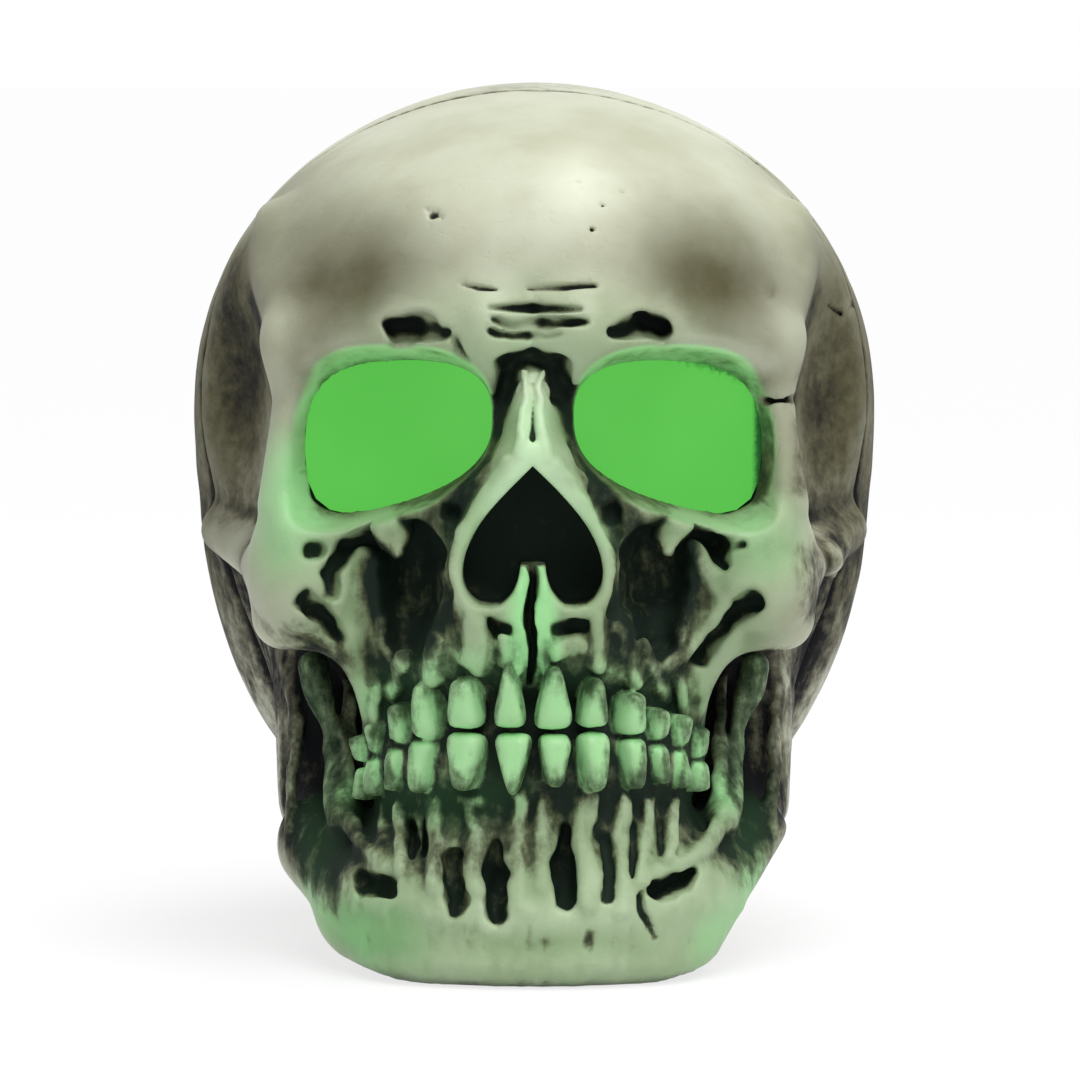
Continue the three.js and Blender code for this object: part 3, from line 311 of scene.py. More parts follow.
class Tooth:
    """A crown from its biting edge to its neck, upwards or downwards, on the arch of teeth."""

    depth = 4.2
    set_back = 0.75
    fullness = 1.08
    taper = 1.2
    bite_thickness = 0.72
    side_power = 3.0
    depth_power = 2.4
    end_power = 6
    steepness = 0.9
    least_width = 0.1
    room = 1.5
    crown_edge = (0.5, 0.1)
    neck_shade = (0.35, 1.05)
    side_shade = (0.62, 1.1)
    side_darkness = 0.7

    def __init__(self, x, half_bite, half_neck, bite, neck):
        slope = 2 * ARCH_SWEEP * x / ARCH_HALF_WIDTH**2
        self.turn = math.atan(slope)
        self.place = (x, arch_y(x) + self.depth * self.set_back)
        self.halves = (half_bite, half_neck)
        self.span = (bite, neck)
        reach = max(self.depth, half_bite) + self.room
        self.low = [x - reach, self.place[1] - reach, min(bite, neck) - self.room]
        self.high = [x + reach, self.place[1] + reach, max(bite, neck) + self.room]

    def distance(self, x, y, z):
        bite, neck = self.span
        x, y = x - self.place[0], y - self.place[1]
        cosine, sine = math.cos(self.turn), math.sin(self.turn)
        across, depth = x * cosine + y * sine, y * cosine - x * sine
        along = np.clip((z - bite) / (neck - bite), 0, 1)
        width = self.fullness * self.width(along**self.taper)
        thick = self.depth * (self.bite_thickness + (1 - self.bite_thickness) * along)
        height = np.abs(z - (bite + neck) / 2) / (abs(neck - bite) / 2)
        total = np.abs(across / width) ** self.side_power
        total = total + np.abs(depth / thick) ** self.depth_power + height**self.end_power
        return (total ** (1 / self.side_power) - 1) * min(self.halves[0], self.depth) * self.steepness

    def width(self, along):
        """Half the width at a share of the way from the bite to the neck."""
        return self.halves[0] + (self.halves[1] - self.halves[0]) * along

    def shade(self, x, y, z):
        """How much of a point is on the crown, and how much painted shade it takes there towards the neck and
        the sides.
        """
        bite, neck = self.span
        crown = smooth_step(*self.crown_edge, self.distance(x, y, z))
        along = (z - bite) / (neck - bite)
        across = np.abs(x - self.place[0]) / np.maximum(self.width(along), self.least_width)
        sides = self.side_darkness * smooth_step(*self.side_shade, across)
        dark = 1 - (1 - smooth_step(*self.neck_shade, along)) * (1 - sides)
        return crown, dark


# Clay
def rounded_most(first, second, blend):
    """The greater of two fields, with the edge between them rounded over the blend length."""
    near = np.maximum(blend - np.abs(first - second), 0)
    return np.maximum(first, second) + near * near / (4 * blend)


class Clay:
    """A block of points that each hold the distance to the surface being sculpted."""

    margin = 4.0
    warp = None

    def __init__(self, low, pitch, axes, field):
        self.low = low
        self.pitch = pitch
        self.axes = axes
        self.field = field

    def window(self, form, blend):
        """The part of the block that a form can change, and the coordinates there."""
        spans = []
        for axis, low, high in zip(self.axes, form.low, form.high):
            first, last = np.searchsorted(axis, (low - blend - self.margin, high + blend + self.margin))
            spans.append(slice(int(first), int(last)))
        spans = tuple(spans)
        x, y, z = (axis[span] for axis, span in zip(self.axes, spans))
        x, y, z = x[:, None, None], y[None, :, None], z[None, None, :]
        if self.warp:
            x, z = x + self.warp[0][spans], z + self.warp[1][spans]
        return spans, (x, y, z)

    def melt(self, form, blend=HARD_EDGE):
        """Adds a form, which runs into what is there over the blend length."""
        spans, places = self.window(form, blend)
        self.field[spans] = -rounded_most(-self.field[spans], -form.distance(*places), blend)

    def carve(self, form, blend=HARD_EDGE):
        """Takes a form away, with an edge that is rounded over the blend length."""
        spans, places = self.window(form, blend)
        self.field[spans] = rounded_most(self.field[spans], -form.distance(*places), blend)

    def copy(self, field):
        """A block in the same place with another field."""
        return Clay(self.low, self.pitch, self.axes, field)

    def sample(self, points):
        """The field at points, between its own points."""
        at = (points - self.low) / self.pitch
        whole = np.clip(np.floor(at).astype(int), 0, np.array(self.field.shape) - 2)
        share = np.clip(at - whole, 0, 1)
        total = np.zeros(len(points))
        for corner in np.ndindex(2, 2, 2):
            weight = np.prod(np.where(corner, share, 1 - share), axis=1)
            total += weight * self.field[tuple((whole + corner).T)]
        return total

    def skin(self):
        """Points and four-sided faces of the surface, in millimetres."""
        grid = openvdb.FloatGrid()
        grid.copyFromArray(self.field)
        points, _, quads = grid.convertToPolygons(isovalue=0.0, adaptivity=0.0)
        return points * self.pitch + self.low, quads

    def front(self):
        """How far forward the surface stands in each column of the front view, 0 where there is none."""
        inside = self.field < 0
        first = np.argmax(inside, axis=1)
        depth = self.axes[1][first]
        depth[~inside.any(axis=1)] = 0
        return depth

    def back(self):
        """How far back the surface stands in each column of the back view."""
        inside = self.field < 0
        last = inside.shape[1] - 1 - np.argmax(inside[:, ::-1], axis=1)
        return self.axes[1][last]


def empty_block(low, high, pitch):
    """A block between two corners with nothing in it."""
    low = np.array(low, float)
    counts = np.ceil((np.array(high, float) - low) / pitch).astype(int) + 1
    axes = [(start + pitch * np.arange(count)).astype(np.float32) for start, count in zip(low, counts)]
    return Clay(low, pitch, axes, np.full(counts, FAR_AWAY, np.float32))


def blurred(field, cells, passes=3):
    """A field smoothed by repeated averages over so many cells to each side."""
    for _ in range(passes):
        for axis in range(3):
            pad = [(0, 0)] * 3
            pad[axis] = (cells + 1, cells)
            total = np.cumsum(np.pad(field, pad, mode="edge"), axis=axis, dtype=np.float64)
            span = 2 * cells + 1
            high = np.take(total, range(span, total.shape[axis]), axis=axis)
            low = np.take(total, range(0, total.shape[axis] - span), axis=axis)
            field = ((high - low) / span).astype(np.float32)
    return field


def grain(clay, cell, height, seed):
    """Smooth noise up to a height over a block, with a cell size along each axis."""
    shares = []
    for axis, size in zip(clay.axes, cell):
        at = (axis - axis[0]) / size
        whole = np.floor(at).astype(int)
        part = at - whole
        shares.append((whole, (part * part * (3 - 2 * part)).astype(np.float32)))
    shape = [whole[-1] + 2 for whole, _ in shares]
    noise = np.random.default_rng(seed).uniform(-1, 1, shape).astype(np.float32)
    for axis, (whole, part) in enumerate(shares):
        wide = [1, 1, 1]
        wide[axis] = -1
        part = part.reshape(wide)
        noise = np.take(noise, whole, axis) * (1 - part) + np.take(noise, whole + 1, axis) * part
    return noise * height


def grains(clay, rows):
    """The sum of several grains over a block."""
    return sum(grain(clay, *row) for row in rows)


# The skull's masses and hollows, each mirrored in X: name, form and blend
MASSES = [
    ("cranium", Blob((0, 8.4, 108), (67, 65.8, 61.2)), HARD_EDGE),
    ("temporal mass", Blob((0, 10, 88), (66, 36, 78)), 6),
    ("occiput", Blob((0, 12, 82), (60, 60, 44)), 8),
    ("frontal bone", Blob((0, -14, 124.5), (58.5, 51.5, 39)), 8),
    ("middle of the face", Blob((0, -38, 82), (36, 32, 44)), 8),
    ("upper jaw", Blob((0, -41, 66), (32, 29, 18)), 6),
    ("tooth bed", Blob((0, -38, 42), (33, 28.5, 20)), 4),
    ("lower bed", Blob((0, -40, 28), (31, 27, 14)), 4),
    ("chin", Blob((0, -46, 15), (38, 25, 17)), 6),
    ("chin foot", Blob((0, -48, 5), (35, 23, 7.4)), 4),
    ("jaw body", Limb([(18, -52, 15), (31, -42, 15), (39.5, -26, 22.5)], [15, 10.5, 10.3]), 5),
    ("jaw branch", Limb([(39.5, -14, 30), (43, -8, 70)], [10.5, 9]), 4),
    ("coronoid ridge", Limb([(42.5, -27, 57), (40, -31, 42), (36, -42, 29)], [3, 3, 3.5]), 3),
    ("brow", Limb([(9, -62, 123), (45, -47, 120)], [8, 6]), 6),
    ("outer eye rim", Limb([(46, -46, 121), (45.4, -45, 109), (47.5, -46, 90)], [4.6, 4.5, 5]), 4),
    ("temple line", Limb([(45, -43, 120), (49.5, -34, 131), (50, -24, 143)], [4.5, 4, 3]), 6),
    ("lower eye rim", Limb([(44, -51, 86), (14, -62, 95)], [5.5, 4]), 4),
    ("cheekbone", Blob((42, -45, 75), (12, 13, 12)), 5),
    ("cheek corner", Limb([(47, -43, 82), (48, -41, 68)], [6.5, 5]), 4),
    ("cheek edge", Limb([(48, -42, 66.5), (37, -48, 65)], [4.4, 4.4]), 3),
    ("cheek arch", Limb([(51, -38, 78), (61, -6, 82)], [5, 4.5]), 4),
    ("cheek pillar", Limb([(34, -48, 66), (31, -48, 56), (29.5, -44, 44)], [5.5, 4, 2.5]), 4),
    ("nose bridge", Limb([(0, -62, 116), (0, -68.6, 100)], [3, 5]), 4),
    ("nose rim", Limb([(3, -67, 97), (13, -64, 76)], [4.6, 5]), 5),
    ("nose sill", Limb([(12, -64, 76), (0, -66, 68)], [5, 5]), 5),
]
HOLLOWS = [
    ("temple", Blob((63.5, -33, 107), (13, 19, 29)), 6),
    ("jaw hollow", Blob((43.5, -54, 46), (10.5, 26, 15.5)), 3),
    ("arch hollow", Blob((57, -24, 60), (5, 12, 12)), 4),
]

# Strokes on the face: places in front view (x, z), half width, depth or height, and blend.
# Each is drawn on both sides, or on one: 1 for the right of the picture, -1 for the left.
CARVED = [
    ("cheek hollow", 0, [(23.3, 80.5), (23.5, 73), (24, 65)], (7, 6.8, 4.2), 14, 2),
    ("hollow's upper branch", 0, [(23, 84), (29.5, 84), (35.5, 82.3)], (3.2, 2.8, 1.8), 8, 1.2),
    ("crescent beside the strut", -1, [(36, 82), (38.4, 77), (38, 72.5)], (1.8, 1.8, 1.2), 4.5, 1),
    ("cheek slot", -1, [(43.2, 72), (40, 69), (37, 66)], (2, 2.4, 2), 4.5, 1),
    ("cheek pit", -1, [(42.6, 82), (41.4, 82)], 1.9, 2.6, 1.2),
    ("cheek wedge", 1, [(29.5, 83.5), (34, 82), (35.8, 78.5)], (2.2, 2.6, 1.4), 6, 1),
    ("cheek slot", 1, [(41.5, 71.5), (37, 69), (31, 61.5)], (2.4, 2.6, 2.2), 6, 1.2),
    ("cheek pinholes", 1, [(37.5, 82.2), (39.5, 82.8)], (0.7, 0.9), 1.5, 0.5),
    ("tear groove", 0, [(8.6, 105), (10.5, 99.5), (14.6, 92)], (1.6, 1.7, 1.4), 4, 1),
    ("tear pit", 0, [(15.3, 89.4)], 2.3, 5, 0.8),
    ("nasion", 0, [(0, 118.4), (4, 116.6), (6, 111), (7.4, 105), (9.4, 99)], (1.8, 2.6, 2.4, 2, 1.3), 6, 0.8),
    ("septum groove", 1, [(-0.2, 83), (-0.2, 74), (-0.3, 66), (-0.3, 58)], (1.1, 1.2, 1, 0.6), 8, 0.4),
    ("nasal groove", 1, [(0, 113.5), (0, 103.5)], (0.3, 0.55), 1.2, 0.4),
    ("pit under the nose", 0, [(4.4, 68), (7.6, 67.8), (11, 68.6)], (1.4, 2.3, 1.2), 3.6, 0.9),
    (
        "groove outside the nose", 0, [(11.6, 94), (15.6, 86), (17.2, 78), (15.8, 71)],
        (1.2, 1.6, 1.6, 1.3), 2.6, 1.1,
    ),
    ("brow slot", -1, [(25.6, 123.2), (21.4, 124.7), (16.8, 123)], (2.3, 2.9, 1.5), 8, 0.7),
    ("brow slot", 1, [(15.4, 122.4), (20, 124), (23.6, 123.2)], (1.3, 2.6, 2.3), 8, 0.7),
    ("brow crease", -1, [(14.6, 122), (13, 118)], (0.8, 1.1), 1.6, 1),
    ("wrinkle 1 left", -1, [(13.4, 132), (10, 131.4), (5.8, 130.7)], (0.3, 0.6, 0.2), 0.9, 0.4),
    ("wrinkle 1 right", 1, [(-0.8, 131.1), (5, 131.4), (11.7, 131.7)], (0.3, 0.6, 0.4), 1.1, 0.4),
    ("wrinkle 2", 1, [(-8.2, 127.8), (0, 127.6), (8.9, 127.5)], (0.4, 1.1, 0.5), 2, 0.4),
    ("wrinkle 3", 1, [(-6.7, 125.2), (2, 125), (9.7, 124.7)], (0.9, 1.3, 0.8), 2.4, 0.4),
    ("wrinkle 4", 1, [(-7.5, 123), (-1, 122.8), (5.2, 122.7)], (0.8, 1.2, 0.5), 2.2, 0.4),
    ("forehead pit", -1, [(18.8, 145)], 1.2, 0.8, 0.8),
    ("pore 1", 1, [(8.3, 151)], 0.45, 0.5, 0.3),
    ("pore 2", 1, [(13, 146.4)], 0.5, 0.5, 0.3),
    ("pore 3", 1, [(17, 149)], 0.4, 0.5, 0.3),
    ("pore 4", 1, [(11, 142)], 0.55, 0.6, 0.3),
    ("pore 5", 1, [(20.6, 143.4)], 0.5, 0.5, 0.3),
    ("glue seam", 1, [(38.5, 157.5), (47, 150.5), (56, 139)], (0.3, 0.45, 0.4), 0.9, 0.3),
    ("temple suture", 1, [(57, 126.5), (59.6, 124.6), (62, 126.4), (64, 125.2)], 0.4, 0.9, 0.3),
    ("forehead scratch", -1, [(20.2, 146), (18.8, 145), (17, 144.2)], 0.35, 0.5, 0.4),
    ("root pit 1", -1, [(7.2, 26.4), (6.2, 21), (6.6, 14.6)], (2, 3.8, 2.8), 7, 1),
    ("root pit 2", 1, [(6.6, 30), (6, 23.6), (5.8, 17.2)], (1.5, 3, 2.5), 7, 1),
    ("root pit 3", -1, [(19.2, 31), (19.6, 25.6)], (1.5, 1.7), 3.6, 0.9),
    ("root pit 4", -1, [(14.6, 25), (14.8, 20), (14.4, 16.4)], (1.8, 2.4, 2), 5, 0.9),
    ("root pit 5", -1, [(23.4, 30), (23, 25)], (1.7, 1.5), 3.6, 0.9),
    ("root pit 6", 1, [(14, 28), (13.8, 18)], (1.1, 1.3), 0.8, 1.2),
    ("root pit 7", 1, [(24, 30), (24.2, 25)], (1.2, 0.9), 1.4, 0.9),
    ("jaw crack", 1, [(18.6, 30), (19, 22), (20.4, 15), (23, 9.6)], (1, 1.1, 0.9, 0.5), 0.9, 0.7),
    ("chin opening", -1, [(31.5, 19.2), (27.6, 19.2)], (2.2, 2.6), 6, 0.9),
    ("chin opening", 1, [(23.4, 18.4), (28.8, 20)], (2.1, 2.1), 6, 0.9),
    ("rim notch", 1, [(42.5, 109.4), (49.5, 109.8)], (0.5, 0.9), 2, 0.4),
]
RAISED = [
    ("strut", -1, [(32, 81), (33.6, 74), (34.4, 67), (33, 61)], (1.6, 2.3, 2.6, 3), 0.4, 1.2),
    (
        "strut", 1, [(29.8, 82), (34.6, 76), (35.6, 71.5), (31.6, 66.5), (25.6, 59)],
        (1.3, 1.9, 1.8, 1.7, 1.3), 0.4, 1,
    ),
    ("flake", 0, [(28, 87.5), (25.6, 85), (25.2, 81.5)], (3, 3, 1.2), 0.6, 1.2),
    ("nasal bone", 0, [(1.5, 115.6), (1.7, 110), (2.1, 104), (2.8, 100)], (0.5, 0.8, 1, 1.1), 1.5, 0.5),
    (
        "nose wing", 0,
        [(4.4, 98.4), (6.8, 95), (10.4, 89.6), (13.4, 84), (14.6, 78.6), (13.6, 74), (10.6, 71.2), (6, 71.2)],
        (1.7, 1.5, 1.35, 1.3, 1.2, 1, 0.9, 0.8), 1.3, 0.8,
    ),
    ("upper root 1", -1, [(10, 69), (10.4, 62.5)], (2.2, 3.3), 2.0, 1),
    ("upper root 2", -1, [(17.4, 66), (18.6, 59)], (1.8, 2.7), 1.9, 1),
    ("upper root 3", -1, [(24, 62), (25.6, 54.5)], (1.6, 2.3), 1.7, 1),
    ("upper root 4", -1, [(29.4, 55), (30, 49)], (1.2, 1.7), 1.4, 0.8),
    ("upper root 0", -1, [(5.4, 66), (5.2, 62)], (1.2, 1.8), 1.5, 0.8),
    ("upper root 1", 1, [(4.4, 64), (8.6, 64.4)], (1.8, 2.2), 1.8, 0.8),
    ("upper root 2", 1, [(12.2, 71), (12.2, 61)], (1.4, 2), 1.8, 0.8),
    ("upper root 3", 1, [(16.2, 68.5), (19, 57.5)], (1.3, 2.1), 1.8, 0.8),
    ("upper root 4", 1, [(21.4, 64), (24.2, 53)], (1.2, 1.8), 1.6, 0.8),
    ("upper root 5", 1, [(27, 57), (28.8, 49)], (1.1, 1.6), 1.4, 0.8),
    ("lower root 1", -1, [(9.4, 35.8), (13, 35.4)], (1.7, 1.6), 1.6, 0.6),
    ("lower root 1 stem", -1, [(11, 34), (10.6, 19)], (1.6, 1.7), 1.3, 0.9),
    ("lower root 2", -1, [(18.8, 35), (18.2, 19)], (2, 1.4), 1.3, 0.8),
    ("lower root 3", -1, [(24.6, 33.5), (24.8, 22)], (1.7, 1.2), 1.2, 0.8),
    ("lower root 4", -1, [(28.4, 32), (28, 24)], (1.5, 1.2), 1, 0.8),
    ("lower root 0", -1, [(2.4, 36), (1.6, 16)], (1.4, 2.1), 1.6, 1),
    ("lower root 1", 1, [(2.2, 35), (2, 20)], (1.4, 1.9), 1.6, 1),
    ("lower root 2", 1, [(10, 36), (10, 16)], (1.9, 1.9), 1.7, 1),
    ("lower root 3", 1, [(16.6, 35.5), (16.6, 15)], (1.8, 1.5), 1.6, 0.9),
    ("lower root 4", 1, [(21.6, 35), (20.8, 20)], (1.3, 1.3), 1.3, 0.8),
    ("lower root 5", 1, [(26, 34), (25, 24)], (1.6, 1.3), 1.3, 0.8),
    ("arch knob", 1, [(56.4, 79), (57.6, 74.6)], (2.6, 2.2), 0.9, 1.6),
    ("jaw streak 1", 0, [(36.6, 56), (35.4, 34)], (1.2, 1), 0.3, 1.4),
    ("jaw streak 2", 0, [(47.6, 56), (46, 26)], (1.4, 1.2), 0.4, 1.6),
    ("jaw side ridge", 0, [(36, 29), (32, 25), (27, 22.6)], (2.2, 1.8, 1.2), 0.8, 1.4),
]
# Carved strokes with a half width up to this aren't made uneven
THIN_STROKE = 1.1
# The suture on the back of the head: places in back view (x, z), half width, stretch in depth and blend
SUTURE = [
    (0, 143), (2.6, 141.4), (2, 138.4), (6.4, 137.8), (5.6, 134.2), (10.6, 133.4), (10.4, 129.4),
    (15.6, 128.4), (15.8, 124), (21.6, 122.6), (22, 118), (27.6, 116.2), (28.6, 111.4), (34, 109),
    (35.6, 104), (41, 101),
]
SUTURE_HALF_WIDTH = 0.5
SUTURE_STRETCH = 2.2
SUTURE_BLEND = 0.4
# The jaw's foot is fuller on the left
LEFT_JAW_FOOT = Limb([(-16, -52, 9), (-33, -40, 10)], (9, 7.8))
LEFT_JAW_BLEND = 4.0
# The right jaw's lower corner is cut back
RIGHT_JAW_CUT = Limb([(54.6, -25, 16.6), (45, -25, 5.2)], (9, 9), 4)
RIGHT_JAW_BLEND = 3.0
# Grains of the clay: cell size along each axis, height and seed. The warps move strokes across and up.
WARP_ACROSS = [((6, 9, 6), 1.0, 11), ((2.4, 4, 2.4), 0.5, 12)]
WARP_UP = [((6, 9, 6), 1.0, 21), ((2.4, 4, 2.4), 0.5, 22)]
BONY = [((1.6, 3, 3.4), 0.2, 3), ((0.9, 1.5, 1.6), 0.12, 4)]
UNEVEN = [((5, 5, 5), 0.1, 5)]
# Heights and depths over which the bony grain comes in
BONY_HEIGHTS = (70, 30)
BONY_DEPTHS = (-40, -52)
# Bars of the septum, in the nose opening and below it
BAR_BLEND = 0.3
BARS = [
    Limb([(-1.9, -67, 82), (-2.5, -70.4, 75), (-2.9, -70.6, 67), (-2.6, -69.4, 60)], (0.5, 0.9, 1, 0.8)),
    Limb([(1.5, -67, 82.4), (2.2, -70.4, 75), (2.4, -70.6, 67), (2.2, -69.4, 60)], (0.5, 0.9, 1, 0.8)),
]

# The arch that the teeth stand on, and how far they run into it
ARCH_FRONT = -73.2
ARCH_SWEEP = 24.0
ARCH_HALF_WIDTH = 31.0
TOOTH_BLEND = 0.5
# Teeth: place across the arch, half widths at the bite and the neck, heights of the bite and the neck
UPPER_TEETH = [
    (-4.2, 3.0, 0.8, 49.4, 61.6), (3.8, 3.6, 1.1, 49.2, 61.2),
    (-12.4, 3.4, 2.0, 49.0, 58.6), (11.0, 2.9, 1.1, 49.3, 58.8),
    (-19.5, 2.8, 1.2, 46.4, 57.4), (18.0, 2.7, 1.8, 47.4, 55.6),
    (-24.2, 2.1, 1.2, 45.2, 52.8), (22.8, 2.0, 1.0, 46.0, 52.0),
    (-28.6, 2.0, 1.2, 42.4, 48.6), (26.8, 1.9, 1.0, 44.2, 50.4),
    (-31.4, 1.8, 1.1, 40.4, 45.6), (30.2, 2.1, 1.3, 41.4, 47.6),
]
LOWER_TEETH = [
    (-3.6, 3.6, 0.6, 48.5, 36.8), (4.0, 3.0, 1.5, 48.3, 38.4),
    (-12.4, 3.9, 1.5, 48.2, 37.4), (11.2, 3.1, 1.2, 48.4, 37.0),
    (-20.2, 3.1, 1.1, 46.2, 36.2), (18.2, 2.6, 1.3, 46.8, 37.0),
    (-25.0, 2.3, 0.8, 44.0, 35.8), (22.7, 2.1, 0.9, 45.0, 37.6),
    (-28.8, 2.0, 0.8, 41.8, 34.2), (26.6, 2.0, 1.0, 43.6, 36.2),
    (-31.2, 1.6, 0.8, 39.6, 33.2), (30.2, 2.3, 1.3, 41.0, 35.0),
]


def arch_y(x):
    """How far forward the teeth stand at a place across the mouth."""
    return ARCH_FRONT + ARCH_SWEEP * (x / ARCH_HALF_WIDTH) ** 2


# Paint, as soft-edged forms: name, form, side (0 for both), softness and strength
MOUTH_SIDE = Blob((44, -30, 46), (12, 20, 22))
RIGHT_RIM_FLANK = Limb([(53, -41, 119), (52.4, -43, 106), (54, -42, 92)], (2.4, 2.8, 3))
# Black wash, and painted shade on the sides of the head, behind the jaw and on the left of the head
DARK = [
    ("cheek hollow", Limb([(23, -54, 82), (23.5, -52, 73), (24, -54, 64)], (6, 7, 4.5)), 0, 4, 1.0),
    ("round the hollow", Limb([(25, -60, 83), (25, -60, 65)], (9, 8.6)), 0, 8, 0.76),
    (
        "beside the nose",
        FaceStroke(
            [(6.7, 112), (9.6, 102), (13.6, 94), (17.2, 87), (18.9, 79), (18.6, 71)],
            (2.4, 2.4, 3.4, 3.7, 3.7, 4),
        ),
        0, 3, 0.8,
    ),
    ("hollow's floor", FaceStroke([(25, 82), (24, 73), (22.6, 66)], (6.6, 7.4, 5)), 0, 3, 1.0),
    ("below the cheek hollow", FaceStroke([(17.5, 69), (20, 64), (26, 61)], (3.6, 3.6, 4.4)), 0, 5, 0.72),
    ("inner eye corner", FaceStroke([(12, 97), (18, 92.4), (26, 89)], (2.4, 2.2, 1.6)), 0, 4, 0.6),
    ("right temple", FaceStroke([(54, 118), (52, 106), (52.6, 94)], (2.4, 2.6, 2.4)), 1, 5, 0.95),
    ("maxilla right", FaceStroke([(17, 66), (23, 60)], (3, 4)), 1, 5, 0.6),
    ("jaw left", FaceStroke([(37, 22), (40, 30)], (5, 5)), -1, 9, 0.5),
    ("left cheek's lower edge", FaceStroke([(44, 66), (37, 61)], (2.6, 2.6)), -1, 6, 0.7),
    ("right arch's front", FaceStroke([(53, 80), (54, 70)], (2.6, 2.6)), 1, 6, 0.6),
    ("nose inside", Blob((0, -58, 84), (15, 10, 14)), 0, 2, 1.0),
    ("mouth side", MOUTH_SIDE, 0, 10, 0.8),
    ("under the teeth", Limb([(0, -68, 37), (16, -63, 36), (30, -50, 33)], (2.4, 2.6, 3)), 0, 5, 0.85),
    ("lower roots left", Limb([(4, -66, 28), (16, -62, 27), (30, -50, 26)], (7, 9, 9)), -1, 10, 0.72),
    ("lower roots right", Limb([(0, -66, 30), (16, -62, 28), (30, -50, 27)], (5, 7, 7)), 1, 10, 0.42),
    ("upper roots", Limb([(0, -69, 64), (16, -64, 62), (29, -52, 55)], (5, 7, 6)), 0, 10, 0.4),
    ("tooth backs", Limb([(0, -65, 49), (16, -60, 48), (31, -42, 44)], (4, 4, 6)), 0, 4, 0.9),
    ("temple front", Limb([(55, -29, 128), (51, -36, 108), (53, -36, 88)], (3, 5.4, 4.4)), 0, 9, 1.0),
    ("temple back", Limb([(61, -16, 124), (61, -18, 92)], (8, 8)), 0, 18, 0.5),
    # Partly brown paint, partly painted shade, on the sides of the head and behind the jaw
    ("side of the head", Limb([(66, 4, 112), (66, 8, 84)], (12, 14)), 0, 30, 0.4),
    ("behind the jaw", Limb([(60, 2, 74), (52, 8, 50), (40, 12, 34)], (14, 14, 12)), 0, 20, 0.5),
    ("septum groove", Limb([(-0.2, -69, 81), (-0.3, -69, 60)], (0.7, 0.6)), 1, 1.4, 1.0),
    ("behind the arch", Limb([(58, -14, 72), (54, -12, 52)], (7, 7)), 0, 10, 0.9),
    (
        "nose bridge side",
        Limb([(5.6, -58, 117), (7, -58, 110), (9.8, -57, 102), (13.5, -56, 94.5)], (3.6, 3.8, 3.4, 2.8)),
        0, 2, 1.0,
    ),
    ("brow edge", Limb([(12, -62, 119.4), (24, -60, 119), (38, -54, 116.4)], (1.8, 1.6, 1.6)), 0, 4, 0.75),
    ("jaw side", Limb([(47, -22, 30), (40, -44, 24)], (6, 6)), 0, 14, 0.8),
    ("jaw branch", Limb([(45, -28, 60), (42, -32, 34)], (5, 6)), 0, 10, 0.55),
    ("eye surround", EyePlug(1, 1.5, -30, 4), 0, 9, 0.3),
    ("cheek side", Limb([(54, -36, 80), (50, -38, 68), (44, -44, 63)], (4, 4, 3)), 0, 10, 0.42),
    ("chin crease left", Limb([(-26, -60, 14), (-12, -69, 12)], (2.4, 1.6)), 1, 8, 0.35),
    ("jaw corner left", Limb([(42, -36, 24), (36, -50, 18), (30, -56, 17)], (6, 5, 3.5)), -1, 9, 0.85),
    # Painted shade: the left of the head darker, away from the light
    ("left side", Limb([(62, -18, 132), (62, -20, 112)], (7, 6)), -1, 18, 0.85),
    ("right rim's flank", RIGHT_RIM_FLANK, 1, 5, 0.85),
    ("left cheek's foot", Limb([(47, -44, 70), (40, -48, 63)], (5, 4.4)), -1, 10, 0.75),
    ("right arch", Limb([(56, -32, 77), (60, -14, 81)], (5, 5)), 1, 10, 0.75),
]
# Zones that stay dark on their raised edges too
DEEP = [
    (
        "beside the nose", FaceStroke([(13.6, 94), (17.6, 87), (19.4, 79), (19, 71)], (3, 3.2, 3.2, 3.6)),
        0, 2.4, 0.6,
    ),
    ("hollow's floor", FaceStroke([(25, 82), (24, 73), (22.6, 66)], (6, 7, 5)), 0, 3, 0.9),
    ("mouth side", MOUTH_SIDE, 0, 10, 0.5),
    ("temple", Limb([(56, -28, 130), (52, -34, 106), (54, -34, 88)], (5, 7, 6)), 0, 12, 0.8),
    (
        "nose bridge side",
        Limb([(6.4, -58, 116), (7.6, -58, 110), (10, -57, 102), (13.5, -56, 95)], (2.6, 2.8, 2.4, 2)),
        0, 2.4, 0.95,
    ),
    ("lower roots left", Limb([(8, -66, 28), (16, -62, 27), (30, -50, 26)], (6, 8, 8)), -1, 10, 0.5),
    ("right rim's flank", RIGHT_RIM_FLANK, 1, 5, 0.8),
]
# Ridges that the wash spares
SPARED = [
    ("flake", FaceStroke([(28.4, 87.4), (26, 84.6), (25.4, 82)], (2.8, 2.6, 1.1)), 0, 1.6, 0.85),
    ("jaw ridge", Limb([(44, -30, 62), (42.5, -32, 46), (39, -38, 33)], (1.2, 1.6, 2)), 0, 3.5, 0.6),
    ("jaw's back edge", Limb([(48, -16, 60), (48, -16, 34)], (2, 2)), 0, 5, 0.45),
]
# The walls of the eyes, lit from inside, and where they stay dark
LIT = [("eye wall", EyePlug(1, 0.0, -30, 3), 0, 0.9, 1.0)]
UNLIT = [
    (
        "right eye's outer wall", Limb([(43, -48, 113), (44.6, -47, 102), (43.4, -47, 91)], (1.6, 2.6, 2.4)),
        1, 1.6, 1.0,
    ),
    ("right eye's top", Limb([(15, -58, 118), (28, -56, 118), (40, -50, 114)], (2.6, 3, 2.6)), 1, 3, 0.5),
    ("inner wall", Limb([(9, -54, 113), (8, -56, 104), (12, -56, 96)], (1.4, 1.4, 1.2)), 0, 2, 0.6),
]
